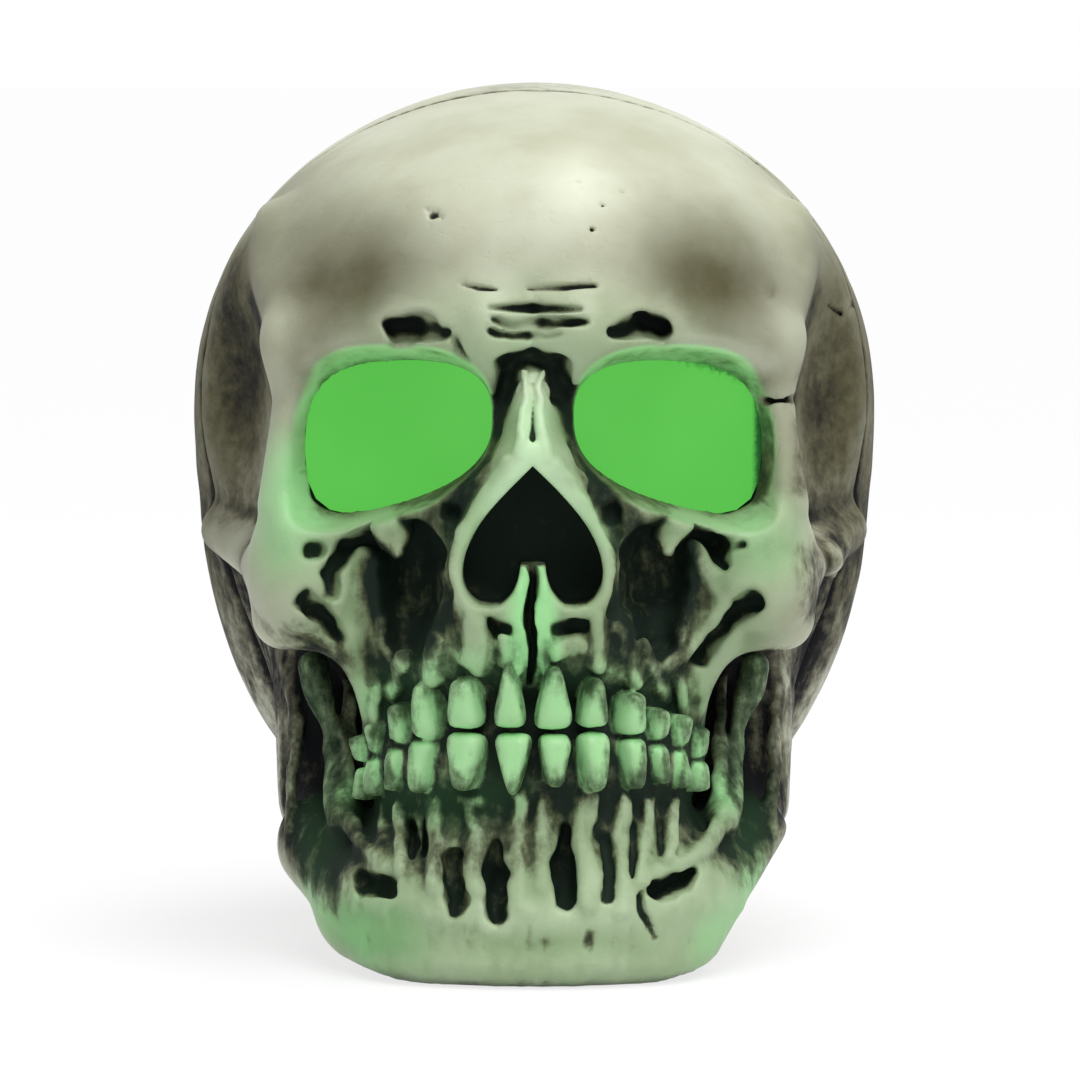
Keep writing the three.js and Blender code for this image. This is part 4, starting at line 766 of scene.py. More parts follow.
# Airbrushed brown, and painted shade on the sides of the head, the left of the forehead and under the chin
SMUDGES_AND_SHADE = [
    ("forehead", Blob((33, -48, 132), (15, 20, 12), -20), 0, 22, 1.0),
    # Painted shade: the left of the forehead darker, away from the light
    ("forehead left", Blob((-48, -32, 146), (12, 20, 14)), 1, 22, 0.5),
    ("face", Limb([(0, -60, 40), (0, -60, 84)], (52, 52)), 0, 30, 0.46),
    ("temple", Blob((58, -28, 118), (12, 22, 28)), 0, 16, 0.8),
    # Painted shade on the sides of the forehead and of the head
    ("upper side", Limb([(60, -10, 138), (50, -10, 153)], (9, 6)), 0, 24, 0.55),
    ("crown side", Blob((68, 4, 104), (14, 56, 50)), 0, 24, 0.85),
    ("eye surround", EyePlug(1, 3, -30, 4), 0, 10, 0.4),
    ("jaw", Limb([(0, -64, 28), (20, -58, 26), (38, -34, 26)], (7, 9, 10)), 0, 14, 0.7),
    ("upper jaw", Limb([(0, -68, 70), (20, -58, 68), (34, -48, 58)], (8, 9, 8)), 0, 14, 0.75),
    (
        "inner cheek", Limb([(10, -58, 100), (16, -58, 92), (32, -56, 82), (40, -50, 68)], (4, 5, 6, 6)),
        0, 12, 0.7,
    ),
    ("cheek side", Limb([(56, -34, 84), (53, -36, 68)], (5, 4)), 0, 12, 0.65),
    ("chin left", Blob((-29, -56, 11), (11, 14, 8)), 1, 12, 1.0),
    ("chin", Limb([(-6, -70, 9), (4, -69, 8)], (1.6, 1.2)), 1, 6, 0.35),
    ("back of the head", Limb([(0, 70, 138), (24, 62, 120), (42, 48, 100)], (5, 5, 6)), 0, 22, 0.4),
    ("nape", Limb([(0, 66, 66), (40, 46, 66)], (6, 6)), 0, 22, 0.6),
    # Painted shade under the chin
    ("chin below", Limb([(-24, -58, 3), (0, -66, 1), (24, -58, 3)], (3, 2, 2)), 1, 8, 0.4),
]
# Edges that are rubbed pale, and a painted highlight on the forehead
RUBBED_AND_HIGHLIGHT = [
    # A painted highlight on the forehead
    ("forehead", Blob((8, -52, 152), (5, 16, 8)), 1, 14, 0.4),
    ("nose ridge", Limb([(0, -68, 113), (0, -74, 100), (10, -69, 89)], (2, 2.8, 1)), 0, 3, 1.0),
    ("lower eye rim", Limb([(41, -54, 88.4), (26, -59, 90.2)], (1.2, 1.2)), 0, 2.5, 0.6),
    ("chin", Limb([(-8, -71, 14), (16, -68, 14)], (2.6, 2.6)), 1, 6, 0.45),
    ("right jaw", Limb([(12, -69, 20), (24, -62, 10), (34, -52, 14)], (2, 3, 3)), 1, 8, 0.4),
    ("brow", Limb([(28, -60, 121), (44, -52, 117)], (2, 2)), 1, 5, 0.5),
]
# Painted green light on the cheeks, nose, teeth and jaw
GLOWS = [
    ("cheekbone left", Blob((46, -48, 88), (6, 10, 14)), -1, 12, 0.85),
    ("cheekbone right", Blob((44, -48, 82), (6, 10, 8)), 1, 12, 0.6),
    ("below the left eye", Limb([(40, -54, 88), (20, -60, 92)], (3, 3)), -1, 8, 0.5),
    ("below the right eye", Limb([(40, -54, 86), (24, -58, 90)], (3, 2)), 1, 8, 0.4),
    ("nose ridge", Limb([(0, -70, 108), (0, -74, 98), (13, -66, 84)], (3, 4, 4)), 0, 6, 0.36),
    ("septum", Limb([(0, -72, 82), (0, -72, 60)], (4, 5)), 0, 4, 0.9),
    ("lower face", Limb([(0, -60, 14), (0, -60, 84)], (46, 46)), 0, 24, 0.26),
    ("upper roots", Limb([(0, -70, 62), (18, -64, 60), (29, -50, 53)], (4, 4, 4)), -1, 9, 0.75),
    ("upper roots", Limb([(0, -70, 61), (18, -64, 58), (29, -50, 52)], (3, 3, 3)), 1, 9, 0.5),
    ("lower roots", Limb([(-30, -50, 34), (-14, -64, 35), (-4, -68, 37)], (3, 5, 3)), 1, 8, 0.8),
    ("mouth corner", Limb([(33, -44, 46), (36, -42, 34)], (3, 4)), 0, 9, 0.8),
    ("jaw side", Limb([(42, -44, 12), (34, -56, 8)], (6, 5)), 0, 12, 0.6),
    ("jaw branch", Limb([(44, -28, 58), (41, -34, 32), (40, -42, 18)], (5, 6, 5)), 0, 10, 0.65),
    ("mouth side", Limb([(36, -40, 46), (32, -46, 34)], (4, 4)), 0, 10, 0.5),
    ("chin left", Blob((-26, -58, 10), (10, 10, 6)), 1, 12, 0.5),
]
# How paint follows the shape. The clay is smoothed on a coarser grid over so many cells, and its value
# at the points is read through ramps. Steps, reaches and heights are millimetres.
PAINT_STEP = 1.0
PAINT_REACH = 4.0
FINE_CELLS = 1
BROAD_CELLS = 3
CLOSED_CELLS = 6
EDGE_RAMP = (0.06, 0.4)
FINE_RAMP = (0.08, 0.5)
BROAD_RAMP = (0.1, 1.1)
CLOSED_RAMP = (0.44, 0.7)
CLOSED_WASH = 0.9
EDGE_WEAR = 0.6
EDGE_SMUDGE = 0.4
INSIDE = -1.2
TOOTH_WASH_AND_SHADE = 0.5
TOOTH_CLEAN = 0.8
TOOTH_GLOW = 0.95
TOOTH_EDGE_GLOW = 0.2
WALL_GLOW = 0.6
LIT_HEIGHTS = (97, 112)


def mirrored(form, side):
    """A distance to a form on both sides (0), the right (1) or the left (-1)."""
    if side == 0:
        return lambda x, y, z: form.distance(np.abs(x), y, z)
    return lambda x, y, z: form.distance(side * x, y, z)


def soft_paint(rows, points):
    """How much of a paint lies at each point, from 0 to 1."""
    bare = np.ones(len(points))
    for _, form, side, softness, strength in rows:
        reach = np.clip(0.5 - mirrored(form, side)(*points.T) / softness, 0, 1)
        bare *= 1 - strength * reach * reach * (3 - 2 * reach)
    return 1 - bare


def smooth_step(low, high, value):
    """0 at low and before it, 1 at high and past it, and smooth between them."""
    share = np.clip((value - low) / (high - low), 0, 1)
    return share * share * (3 - 2 * share)


def base_slab(margin, bottom, top):
    """A slab of the base plate's outline, grown by a margin, between two heights."""
    return Slab(
        (BASE_LOW[0] - margin, BASE_LOW[1] - margin, bottom),
        (BASE_HIGH[0] + margin, BASE_HIGH[1] + margin, top),
        BASE_CORNER + margin,
    )


def base_forms(low, high, pitch):
    """A block with the skull's masses and hollows in it, both sides."""
    half = empty_block((0, low[1], low[2]), high, pitch)
    for _, form, blend in MASSES:
        half.melt(form, blend)
    for _, form, blend in HOLLOWS:
        half.carve(form, blend)
    field = np.concatenate((half.field[:0:-1], half.field))
    across = np.concatenate((-half.axes[0][:0:-1], half.axes[0]))
    corner = np.array((across[0], low[1], low[2]), float)
    return Clay(corner, pitch, [across, *half.axes[1:]], field)


def draw_strokes(clay, front, warp):
    """Carves and raises the strokes of the face, each on the smooth surface under it.
    All but the thin carved ones are made uneven by a warp of the places."""

    def surface(x, z):
        column = np.clip(np.searchsorted(clay.axes[0], x), 0, len(clay.axes[0]) - 1)
        row = np.clip(np.searchsorted(clay.axes[2], z), 0, len(clay.axes[2]) - 1)
        return front[column, row]

    for _, side, places, half_width, depth, blend in CARVED:
        for s in (side,) if side else (1, -1):
            points = [(s * x, surface(s * x, z), z) for x, z in places]
            deep = depth / np.max(half_width)
            clay.warp = warp if np.max(half_width) > THIN_STROKE else None
            clay.carve(Limb(points, half_width, deep), blend)
    for _, side, places, half_width, height, blend in RAISED:
        halves = np.broadcast_to(half_width, len(places))
        for s in (side,) if side else (1, -1):
            points = [
                (s * x, surface(s * x, z) + half - height, z) for (x, z), half in zip(places, halves)
            ]
            clay.warp = warp
            clay.melt(Limb(points, half_width), blend)
    clay.warp = None


def sculpt_front(low, high, pitch):
    """The outside of the front half, and the room inside it."""
    clay = base_forms(low, high, pitch)
    clay.melt(LEFT_JAW_FOOT, LEFT_JAW_BLEND)
    clay.carve(RIGHT_JAW_CUT, RIGHT_JAW_BLEND)
    core = clay.field + CORE_DEPTH
    draw_strokes(clay, clay.front(), [grains(clay, WARP_ACROSS), grains(clay, WARP_UP)])
    for side in (1, -1):
        clay.carve(EyePlug(side, 0, EYE_FRONT, EYE_BACK), EYE_ROUND)
    clay.carve(NoseHole(0), NOSE_ROUND)
    for bar in BARS:
        clay.melt(bar, BAR_BLEND)
    for tooth in UPPER_TEETH + LOWER_TEETH:
        clay.melt(Tooth(*tooth), TOOTH_BLEND)
    low_down = smooth_step(*BONY_HEIGHTS, clay.axes[2])[None, None, :]
    forward = smooth_step(*BONY_DEPTHS, clay.axes[1])[None, :, None]
    clay.field += (grains(clay, BONY) * (low_down * forward)).astype(np.float32)
    clay.field += grains(clay, UNEVEN)
    clay.field = rounded_most(clay.field, FRONT_LIMIT - clay.axes[1][None, :, None], PARTING_ROUND)
    core = np.maximum(core, clay.field + LEAST_WALL)
    return clay, core


def sculpt_rear(low, high, pitch):
    """The outside of the rear half, and the room inside it."""
    clay = base_forms(low, high, pitch)
    core = clay.field + CORE_DEPTH
    back = clay.back()
    for side in (1, -1):
        columns = [np.searchsorted(clay.axes[0], side * x) for x, _ in SUTURE]
        rows = [np.searchsorted(clay.axes[2], z) for _, z in SUTURE]
        points = [(side * x, back[i, j], z) for (x, z), i, j in zip(SUTURE, columns, rows)]
        clay.carve(Limb(points, SUTURE_HALF_WIDTH, SUTURE_STRETCH), SUTURE_BLEND)
    clay.field += grains(clay, UNEVEN)
    return clay, core


def hollow_shell(clay, core, near, far):
    """The moulded wall between the outside and the room, between two planes, with the base's seat."""
    outside = clay.copy(clay.field.copy())
    outside.melt(base_slab(PLINTH_MARGIN, 0, PLINTH_TOP), PLINTH_BLEND)
    room = clay.copy(core)
    room.melt(base_slab(PLINTH_MARGIN - WALL, 0, PLINTH_TOP))
    z = clay.axes[2][None, None, :]
    room.field = np.maximum(room.field, WALL - z)
    for side in (1, -1):
        room.carve(EyePlug(side, WALL, EYE_FRONT, EYE_WALL_BACK))
    room.carve(NoseHole(WALL))
    shell = clay.copy(np.maximum(outside.field, -room.field))
    for place in BOARD_POSTS:
        shell.melt(Post("y", place, BOARD_POST_RADIUS, BOARD_POST_FRONT, BOARD_FACE - BOARD_GAP))
        shell.carve(Post("y", place, BORE_RADIUS, BOARD_FACE - BOARD_BORE_DEPTH, BOARD_FACE))
    ledge = clay.copy(np.full_like(clay.field, FAR_AWAY))
    ledge.melt(base_slab(LEDGE_OUTSIDE, *LEDGE_SPAN))
    ledge.carve(base_slab(LEDGE_INSIDE, *LEDGE_OPENING))
    shell.field = np.minimum(shell.field, ledge.field)
    for place in BASE_SCREWS:
        shell.melt(Post("z", place, BASE_POST_RADIUS, *BASE_POST_SPAN))
    shell.carve(base_slab(SEAT_GAP, *SEAT_SPAN))
    for place in BASE_SCREWS:
        shell.carve(Post("z", place, BORE_RADIUS, *BASE_BORE_SPAN))
    for side in (1, -1):
        shell.carve(EyePlug(side, 0, EYE_FRONT, EYE_BACK))
        shell.carve(EyePlug(side, LENS_POCKET, 0, LENS_POCKET_BACK))
    shell.carve(NoseHole(0))
    y = clay.axes[1][None, :, None]
    shell.field = rounded_most(shell.field, np.maximum(near - y, y - far), PARTING_ROUND)
    shell.field = np.maximum(shell.field, -z)
    return shell


def clay_mesh(name, shell, most_triangles):
    """An object from a shell's surface, its largest body only, thinned to so many triangles."""
    points, quads = shell.skin()
    mesh = bpy.data.meshes.new(name)
    mesh.from_pydata((points * MM).tolist(), [], quads.tolist())
    piece = bpy.data.objects.new(name, mesh)
    bpy.context.scene.collection.objects.link(piece)
    keep_largest(mesh)
    triangles = 2 * len(mesh.polygons)
    if triangles > most_triangles:
        thin = piece.modifiers.new("thin", "DECIMATE")
        thin.ratio = most_triangles / triangles
        evaluated = piece.evaluated_get(bpy.context.evaluated_depsgraph_get())
        thinned = bpy.data.meshes.new_from_object(evaluated)
        piece.modifiers.clear()
        piece.data = thinned
        bpy.data.meshes.remove(mesh)
        thinned.name = name
    piece.data.shade_smooth()
    return piece


def keep_largest(mesh):
    """Deletes every body of a mesh but its largest."""
    work = bmesh.new()
    work.from_mesh(mesh)
    work.verts.ensure_lookup_table()
    unseen = set(range(len(work.verts)))
    bodies = []
    while unseen:
        edge = [unseen.pop()]
        body = list(edge)
        while edge:
            vertex = work.verts[edge.pop()]
            for link in vertex.link_edges:
                other = link.other_vert(vertex).index
                if other in unseen:
                    unseen.remove(other)
                    edge.append(other)
                    body.append(other)
        bodies.append(body)
    bodies.sort(key=len)
    stray = [work.verts[i] for body in bodies[:-1] for i in body]
    bmesh.ops.delete(work, geom=stray, context="VERTS")
    work.to_mesh(mesh)
    work.free()


def paint_points(piece, clay):
    """Writes how much black wash and painted shade, brown smudge and painted shade, painted green light,
    painted light on the eye walls, and rub and painted highlight each point of a piece takes.
    """
    count = len(piece.data.vertices)
    flat = np.zeros(count * 3, np.float32)
    piece.data.vertices.foreach_get("co", flat)
    points = flat.reshape(-1, 3) / MM
    step = max(1, round(PAINT_STEP / clay.pitch))
    clipped = np.clip(clay.field[::step, ::step, ::step], -PAINT_REACH, PAINT_REACH)
    axes = [axis[::step] for axis in clay.axes]
    coarse = Clay(clay.low, clay.pitch * step, axes, clipped)
    fine = -coarse.copy(blurred(clipped, FINE_CELLS)).sample(points)
    broad = -coarse.copy(blurred(clipped, BROAD_CELLS)).sample(points)
    filled = (clipped < 0).astype(np.float32)
    closed = coarse.copy(blurred(filled, CLOSED_CELLS)).sample(points)
    inside = clay.sample(points) < INSIDE
    edge = smooth_step(*EDGE_RAMP, -fine)
    closed_in = CLOSED_WASH * smooth_step(*CLOSED_RAMP, closed)
    recess = 1 - (1 - smooth_step(*FINE_RAMP, fine)) * (1 - smooth_step(*BROAD_RAMP, broad))
    # Black wash and painted shade, from the recesses and the dark zones
    recess = 1 - (1 - recess) * (1 - closed_in) * (1 - soft_paint(DARK, points))
    wash_and_shade = recess * (1 - EDGE_WEAR * edge * (1 - soft_paint(DEEP, points)))
    wash_and_shade = wash_and_shade * (1 - soft_paint(SPARED, points))
    # Brown smudges and painted shade
    smudge_and_shade = soft_paint(SMUDGES_AND_SHADE, points) * (1 - EDGE_SMUDGE * edge)
    # Painted green light
    glow = soft_paint(GLOWS, points)
    # Painted shade on each crown towards its neck and sides, and painted green light on it
    for row in UPPER_TEETH + LOWER_TEETH:
        crown, dark = Tooth(*row).shade(*points.T)
        shaded = np.maximum(TOOTH_WASH_AND_SHADE * dark, TOOTH_WASH_AND_SHADE * recess * (1 - edge))
        wash_and_shade = wash_and_shade * (1 - crown) + crown * shaded
        smudge_and_shade = smudge_and_shade * (1 - TOOTH_CLEAN * crown)
        glow = np.maximum(glow, crown * (TOOTH_GLOW - TOOTH_EDGE_GLOW * edge))
    # Painted light on the eye walls, and painted shade where they are unlit
    wall = soft_paint(LIT, points)
    wash_and_shade = wash_and_shade * (1 - wall) + wall * soft_paint(UNLIT, points)
    wash_and_shade[inside] = 0
    lit = wall * smooth_step(*LIT_HEIGHTS, points[:, 2])
    glow = np.maximum(glow, WALL_GLOW * wall)
    # Rubbed pale edges and a painted highlight
    rub_and_highlight = soft_paint(RUBBED_AND_HIGHLIGHT, points) * (1 - wash_and_shade)
    channels = {"wash_and_shade": wash_and_shade, "smudge_and_shade": smudge_and_shade, "glow": glow, "lit": lit, "rub_and_highlight": rub_and_highlight}
    for name, values in channels.items():
        attribute = piece.data.attributes.new(name, "FLOAT", "POINT")
        attribute.data.foreach_set("value", values.astype(np.float32))


# Shaders
class Socket:
    """A shader's number or colour; arithmetic on numbers adds Math nodes."""

    def __init__(self, shader, link):
        self.shader = shader
        self.link = link

    def __add__(self, other):
        return self.shader.math("ADD", self, other)

    __radd__ = __add__

    def __sub__(self, other):
        return self.shader.math("SUBTRACT", self, other)

    def __rsub__(self, other):
        return self.shader.math("SUBTRACT", other, self)

    def __mul__(self, other):
        return self.shader.math("MULTIPLY", self, other)

    __rmul__ = __mul__

    def clipped(self):
        return self.shader.math("MAXIMUM", self.shader.math("MINIMUM", self, 1.0), 0.0)


class Shader:
    """A new material with a Principled shader."""

    def __init__(self, name, **settings):
        self.material = bpy.data.materials.new(name)
        self.material.use_nodes = True
        self.tree = self.material.node_tree
        self.surface = self.tree.nodes["Principled BSDF"]
        self.set(**settings)

    def fill(self, socket, value):
        if isinstance(value, Socket):
            self.tree.links.new(value.link, socket)
        elif socket.type == "RGBA":
            socket.default_value = (*value, 1.0)
        else:
            socket.default_value = value

    def node(self, kind, settings, inputs, output=0):
        """A node of a kind with its settings, which come first, and its sockets' values or links."""
        node = self.tree.nodes.new("ShaderNode" + kind)
        for key, value in settings.items():
            setattr(node, key, value)
        for key, value in inputs.items():
            self.fill(node.inputs[key], value)
        return Socket(self, node.outputs[output])

    def math(self, operation, first, second):
        return self.node("Math", {"operation": operation}, {0: first, 1: second})

    def mix(self, share, first, second):
        """The first colour, or the second by a share."""
        sockets = {"Factor": share, 6: first, 7: second}
        return self.node("Mix", {"data_type": "RGBA"}, sockets, 2)

    def place(self):
        return self.node("TexCoord", {}, {}, "Object")

    def noise(self, scale, detail=2.0, roughness=0.5, stretch=None):
        place = self.place()
        if stretch:
            place = self.node("Mapping", {}, {"Vector": place, "Scale": stretch})
        inputs = {"Vector": place, "Scale": scale, "Detail": detail, "Roughness": roughness}
        return self.node("TexNoise", {}, inputs)

    def ramp(self, value, low, high):
        """A value from 0 at low to 1 at high, smoothly."""
        settings = {"interpolation_type": "SMOOTHSTEP"}
        return self.node("MapRange", settings, {"Value": value, "From Min": low, "From Max": high})

    def paint(self, name):
        return self.node("Attribute", {"attribute_name": name}, {}, "Fac")

    def bump(self, height, strength, distance):
        return self.node("Bump", {}, {"Height": height, "Strength": strength, "Distance": distance})

    def set(self, **sockets):
        for name, value in sockets.items():
            self.fill(self.surface.inputs[name.replace("_", " ")], value)
        return self.material


def seen_rays(tree):
    """1 for rays from the camera and for those that gloss or glass passes on, else 0."""
    path = tree.nodes.new("ShaderNodeLightPath")
    seen = path.outputs["Is Camera Ray"]
    for name in ("Is Glossy Ray", "Is Transmission Ray"):
        either = tree.nodes.new("ShaderNodeMath")
        either.operation = "MAXIMUM"
        tree.links.new(seen, either.inputs[0])
        tree.links.new(path.outputs[name], either.inputs[1])
        seen = either.outputs[0]
    return seen


def dimmed(colour, share):
    """A colour at a share of its brightness."""
    return tuple(share * part for part in colour)


def bone_finish(colours):
    """Moulded bone: pale, with a black wash in its recesses, brown smudges, painted shade, painted green
    light, painted light on the eye walls and a painted highlight.
    """
    s = Shader("painted_bone", Specular_IOR_Level=0.12, Coat_Roughness=0.3, Emission_Strength=1.0)
    height = s.node("SeparateXYZ", {}, {"Vector": s.place()}, "Z")
    lower = s.ramp(height, 0.1, 0.07)
    cloud = s.noise(45, 4, 0.6)
    speckle = s.noise(420, 3, 0.65)
    streak = s.noise(260, 3, 0.6, (1.0, 1.0, 0.25))
    bone = s.mix(s.ramp(cloud, 0.35, 0.7), colours.bone, colours.bone_warm)
    smudge_and_shade = (s.paint("smudge_and_shade") * (0.7 + 0.5 * cloud)).clipped()
    bone = s.mix(smudge_and_shade, bone, colours.smudge_and_shade)
    # Rubbed pale edges and a painted highlight
    bone = s.mix((s.paint("rub_and_highlight") * (0.3 + 0.7 * cloud)).clipped(), bone, colours.bone_pale)
    # Painted green light
    glow = (s.paint("glow") * (0.75 + 0.4 * cloud)).clipped()
    bone = s.mix(glow, bone, colours.glow)
    wash_and_shade = s.paint("wash_and_shade")
    grime = 0.9 * (streak - 0.5) * lower + 0.5 * (speckle - 0.5) + 0.6 * (cloud - 0.5)
    patchy = wash_and_shade + grime * (0.2 + 0.3 * lower + s.ramp(wash_and_shade, 0.02, 0.3))
    # The dark paint and painted shade turn green under the painted green light
    brown = s.mix(glow * 0.7, colours.smudge_and_shade, colours.green_lit_dark)
    bone = s.mix(s.ramp(patchy, 0.02, 0.62) * 0.85, bone, brown)
    # The deepest black wash and painted shade
    deep_wash_and_shade = s.ramp(patchy, 0.36, 0.95)
    bone = s.mix(deep_wash_and_shade, bone, s.mix(glow * 0.5, colours.wash_and_shade, colours.green_lit_dark))
    pores = s.ramp(speckle, 0.3, 0.45)
    relief = cloud * 0.5 + pores * 0.35 + streak * lower * 0.15
    bare = (1.0 - deep_wash_and_shade) * (1.0 - smudge_and_shade)
    lit = (s.paint("lit") * (1.0 - deep_wash_and_shade) * (0.5 + cloud)).clipped()
    return s.set(
        Base_Color=bone,
        Emission_Color=s.mix(lit, (0.0, 0.0, 0.0), colours.wall),
        Roughness=(0.66 - 0.3 * bare + 0.12 * cloud).clipped(),
        Coat_Weight=(0.25 * bare).clipped(),
        Normal=s.bump(relief, 0.25, 0.0006),
    )


# Painted shade on the right lens, where the socket's roof and outer wall shade it, in metres: a sloping line
# along its top and an upright one at its outer edge
LENS_SHADE_SLOPE = 0.34
LENS_SHADE_TOP = (0.1258, 0.1282)
LENS_SHADE_OUTER = (0.0414, 0.0428)


def lens_finish(colours):
    """Green lit sheet, a little uneven, with painted shade along the right one's top and outer edge."""
    s = Shader("lit_green_sheet", Emission_Strength=1.0, Specular_IOR_Level=0.2)
    cloud = s.noise(30, 2, 0.5)
    colour = s.mix(s.ramp(cloud, 0.3, 0.7), colours.lens, colours.lens_pale)
    across = s.node("SeparateXYZ", {}, {"Vector": s.place()}, "X")
    height = s.node("SeparateXYZ", {}, {"Vector": s.place()}, "Z")
    speck = s.noise(900, 3, 0.6)
    # Painted shade along the right lens's top and outer edge
    top = s.ramp(height + LENS_SHADE_SLOPE * across + 0.004 * (speck - 0.5), *LENS_SHADE_TOP)
    outer = s.ramp(across + 0.001 * (speck - 0.5), *LENS_SHADE_OUTER)
    colour = s.mix((0.8 * top + outer).clipped(), colour, colours.lens_shade)
    unlit = s.mix(cloud, dimmed(colours.lens, 0.1), (0.0, 0.02, 0.0))
    return s.set(Base_Color=unlit, Emission_Color=colour, Roughness=0.4 + 0.15 * cloud)


def plain_finish(name, colour, dark, scale, roughness, bump, **settings):
    """A moulded or coated finish: two close colours in fine noise, with a bump."""
    s = Shader(name, **settings)
    fine = s.noise(scale, 4, 0.6)
    broad = s.noise(scale / 12, 2, 0.5)
    return s.set(
        Base_Color=s.mix(s.ramp(fine * 0.6 + broad * 0.4, 0.35, 0.65), dark, colour),
        Roughness=(roughness - 0.1 + 0.2 * broad).clipped(),
        Normal=s.bump(fine, bump, 0.0002),
    )


def banded_finish(name, body, bands, axis, roughness):
    """A finish with plain colour bands along one axis: (from, to, colour) in millimetres."""
    s = Shader(name)
    place = s.node("SeparateXYZ", {}, {"Vector": s.place()}, axis)
    colour = s.mix(s.noise(300, 3), body, dimmed(body, 0.8))
    for start, end, band in bands:
        within = s.math("GREATER_THAN", place, start * MM) * s.math("LESS_THAN", place, end * MM)
        colour = s.mix(within, colour, band)
    fine = s.noise(900, 2)
    return s.set(Base_Color=colour, Roughness=roughness + 0.1 * fine, Normal=s.bump(fine, 0.1, 0.0001))


# Small parts. Profiles are rows of radius and height, from the foot.
TURNED_SIDES = 48
SHARP_ANGLE = math.radians(50)
EASED_ANGLE = math.radians(40)
FLAT_ANGLE = math.radians(1)
SCREW_HEAD = [
    (0, 0), (1.8, 0), (2.2, 0.08), (2.46, 0.28), (2.58, 0.6),
    (2.58, 0.95), (2.45, 1.0), (1.2, 1.0), (1.2, 1.4),
]
THREAD_PITCH = 0.7
THREAD_TURN = [(0.92, 0.28), (0.92, 0.42), (1.2, THREAD_PITCH)]
# No turn starts within this length of a screw's end. The last row before the point is past the turns.
SCREW_END = 2.2
SCREW_TAPER = (0.92, 0.3)
SLOT_HALVES = (2.9, 0.4, 0.6)
LED_RADIUS = 2.5
LED_SHOULDER = 6.1
LED_DOME_ROWS = 9
LED_FLANGE = [(0, 0), (2.85, 0), (2.85, 0.9), (2.75, 1.0), (LED_RADIUS, 1.0)]
# Half of a resistor's profile, in shares of its radius and length
RESISTOR_HALF = [(0, 0), (0.7, 0), (0.9, 0.05), (1, 0.11), (0.94, 0.18), (0.85, 0.24)]
# A cell's rounded edge by the inset from its radius and the height, and its nub
CELL_EDGE = [(0.6, 0), (0.3, 0.08), (0.08, 0.3), (0, 0.6)]
NUB_RADIUS = 1.9
NUB_HEIGHT = 1.0
NUB_EASE = 0.3
CAP_BAND = 1.6
BAND_SPILL = 1.0

# Colours of the small parts; pairs are the colour and its dark grain
BOARD_BROWNS = ((0.43, 0.25, 0.08), (0.33, 0.18, 0.05))
BLACKS = ((0.016, 0.016, 0.016), (0.009, 0.009, 0.009))
STEELS = ((0.55, 0.56, 0.57), (0.42, 0.43, 0.44))
LACQUER = (0.61, 0.46, 0.25)
# Rings of the resistor: where each starts, in shares of the length, and its colour
RINGS = [
    (0.12, (0.30, 0.05, 0.02)), (0.34, (0.02, 0.02, 0.02)),
    (0.52, (0.16, 0.06, 0.02)), (0.8, (0.5, 0.35, 0.08)),
]
RING_WIDTH = 0.09
CELL_JACKET = (0.035, 0.045, 0.055)
CELL_CAP = (0.5, 0.5, 0.52)
WIRES = [
    ("lead_positive", "red_sleeve", (0.43, 0.014, 0.012)),
    ("lead_negative", "black_sleeve", (0.009, 0.009, 0.009)),
    ("lead_switched", "white_sleeve", (0.77, 0.77, 0.73)),
]


def set_piece(name, work, node, body, material):
    """A finished piece from a bmesh in millimetres, in place of a node."""
    bmesh.ops.scale(work, vec=(MM, MM, MM), verts=work.verts)
    bmesh.ops.recalc_face_normals(work, faces=work.faces)
    mesh = bpy.data.meshes.new(name)
    work.to_mesh(mesh)
    work.free()
    mesh.shade_smooth()
    mesh.set_sharp_from_angle(angle=SHARP_ANGLE)
    mesh.materials.append(material)
    piece = bpy.data.objects.new(name, mesh)
    bpy.context.scene.collection.objects.link(piece)
    piece.modifiers.new("even shading", "WEIGHTED_NORMAL").keep_sharp = True
    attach(piece, body)
    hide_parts(node)


def move_to(work, axis, place):
    """Turns a body that stands along Z to another axis, and moves its origin to a place."""
    turn = Vector((0, 0, 1)).rotation_difference(Vector(axis)).to_matrix().to_4x4()
    bmesh.ops.transform(work, matrix=Matrix.Translation(place) @ turn, verts=work.verts)


def turned(rows, axis, place):
    """A round body spun about an axis from rows of radius and height, with its foot at a place."""
    work = bmesh.new()
    points = [work.verts.new((radius, 0, height)) for radius, height in rows]
    edges = [work.edges.new(pair) for pair in zip(points, points[1:])]
    bmesh.ops.spin(
        work, geom=points + edges, cent=(0, 0, 0), axis=(0, 0, 1),
        angle=2 * math.pi, steps=TURNED_SIDES, use_merge=True,
    )
    bmesh.ops.remove_doubles(work, verts=work.verts, dist=1e-4)
    move_to(work, axis, place)
    return work


def eased(node, width):
    """A node's own shape with its sharp edges rounded over a width."""
    work = bmesh.new()
    work.from_mesh(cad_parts[node].data)
    bmesh.ops.transform(work, matrix=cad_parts[node].matrix_world, verts=work.verts)
    bmesh.ops.scale(work, vec=(1 / MM, 1 / MM, 1 / MM), verts=work.verts)
    bmesh.ops.remove_doubles(work, verts=work.verts, dist=1e-3)
    bmesh.ops.dissolve_limit(work, angle_limit=FLAT_ANGLE, verts=work.verts, edges=work.edges)
    sharp = [edge for edge in work.edges if edge.calc_face_angle(0) > EASED_ANGLE]
    bmesh.ops.bevel(
        work, geom=sharp, offset=width, segments=2, profile=0.5,
        affect="EDGES", clamp_overlap=True, material=-1,
    )
    return work


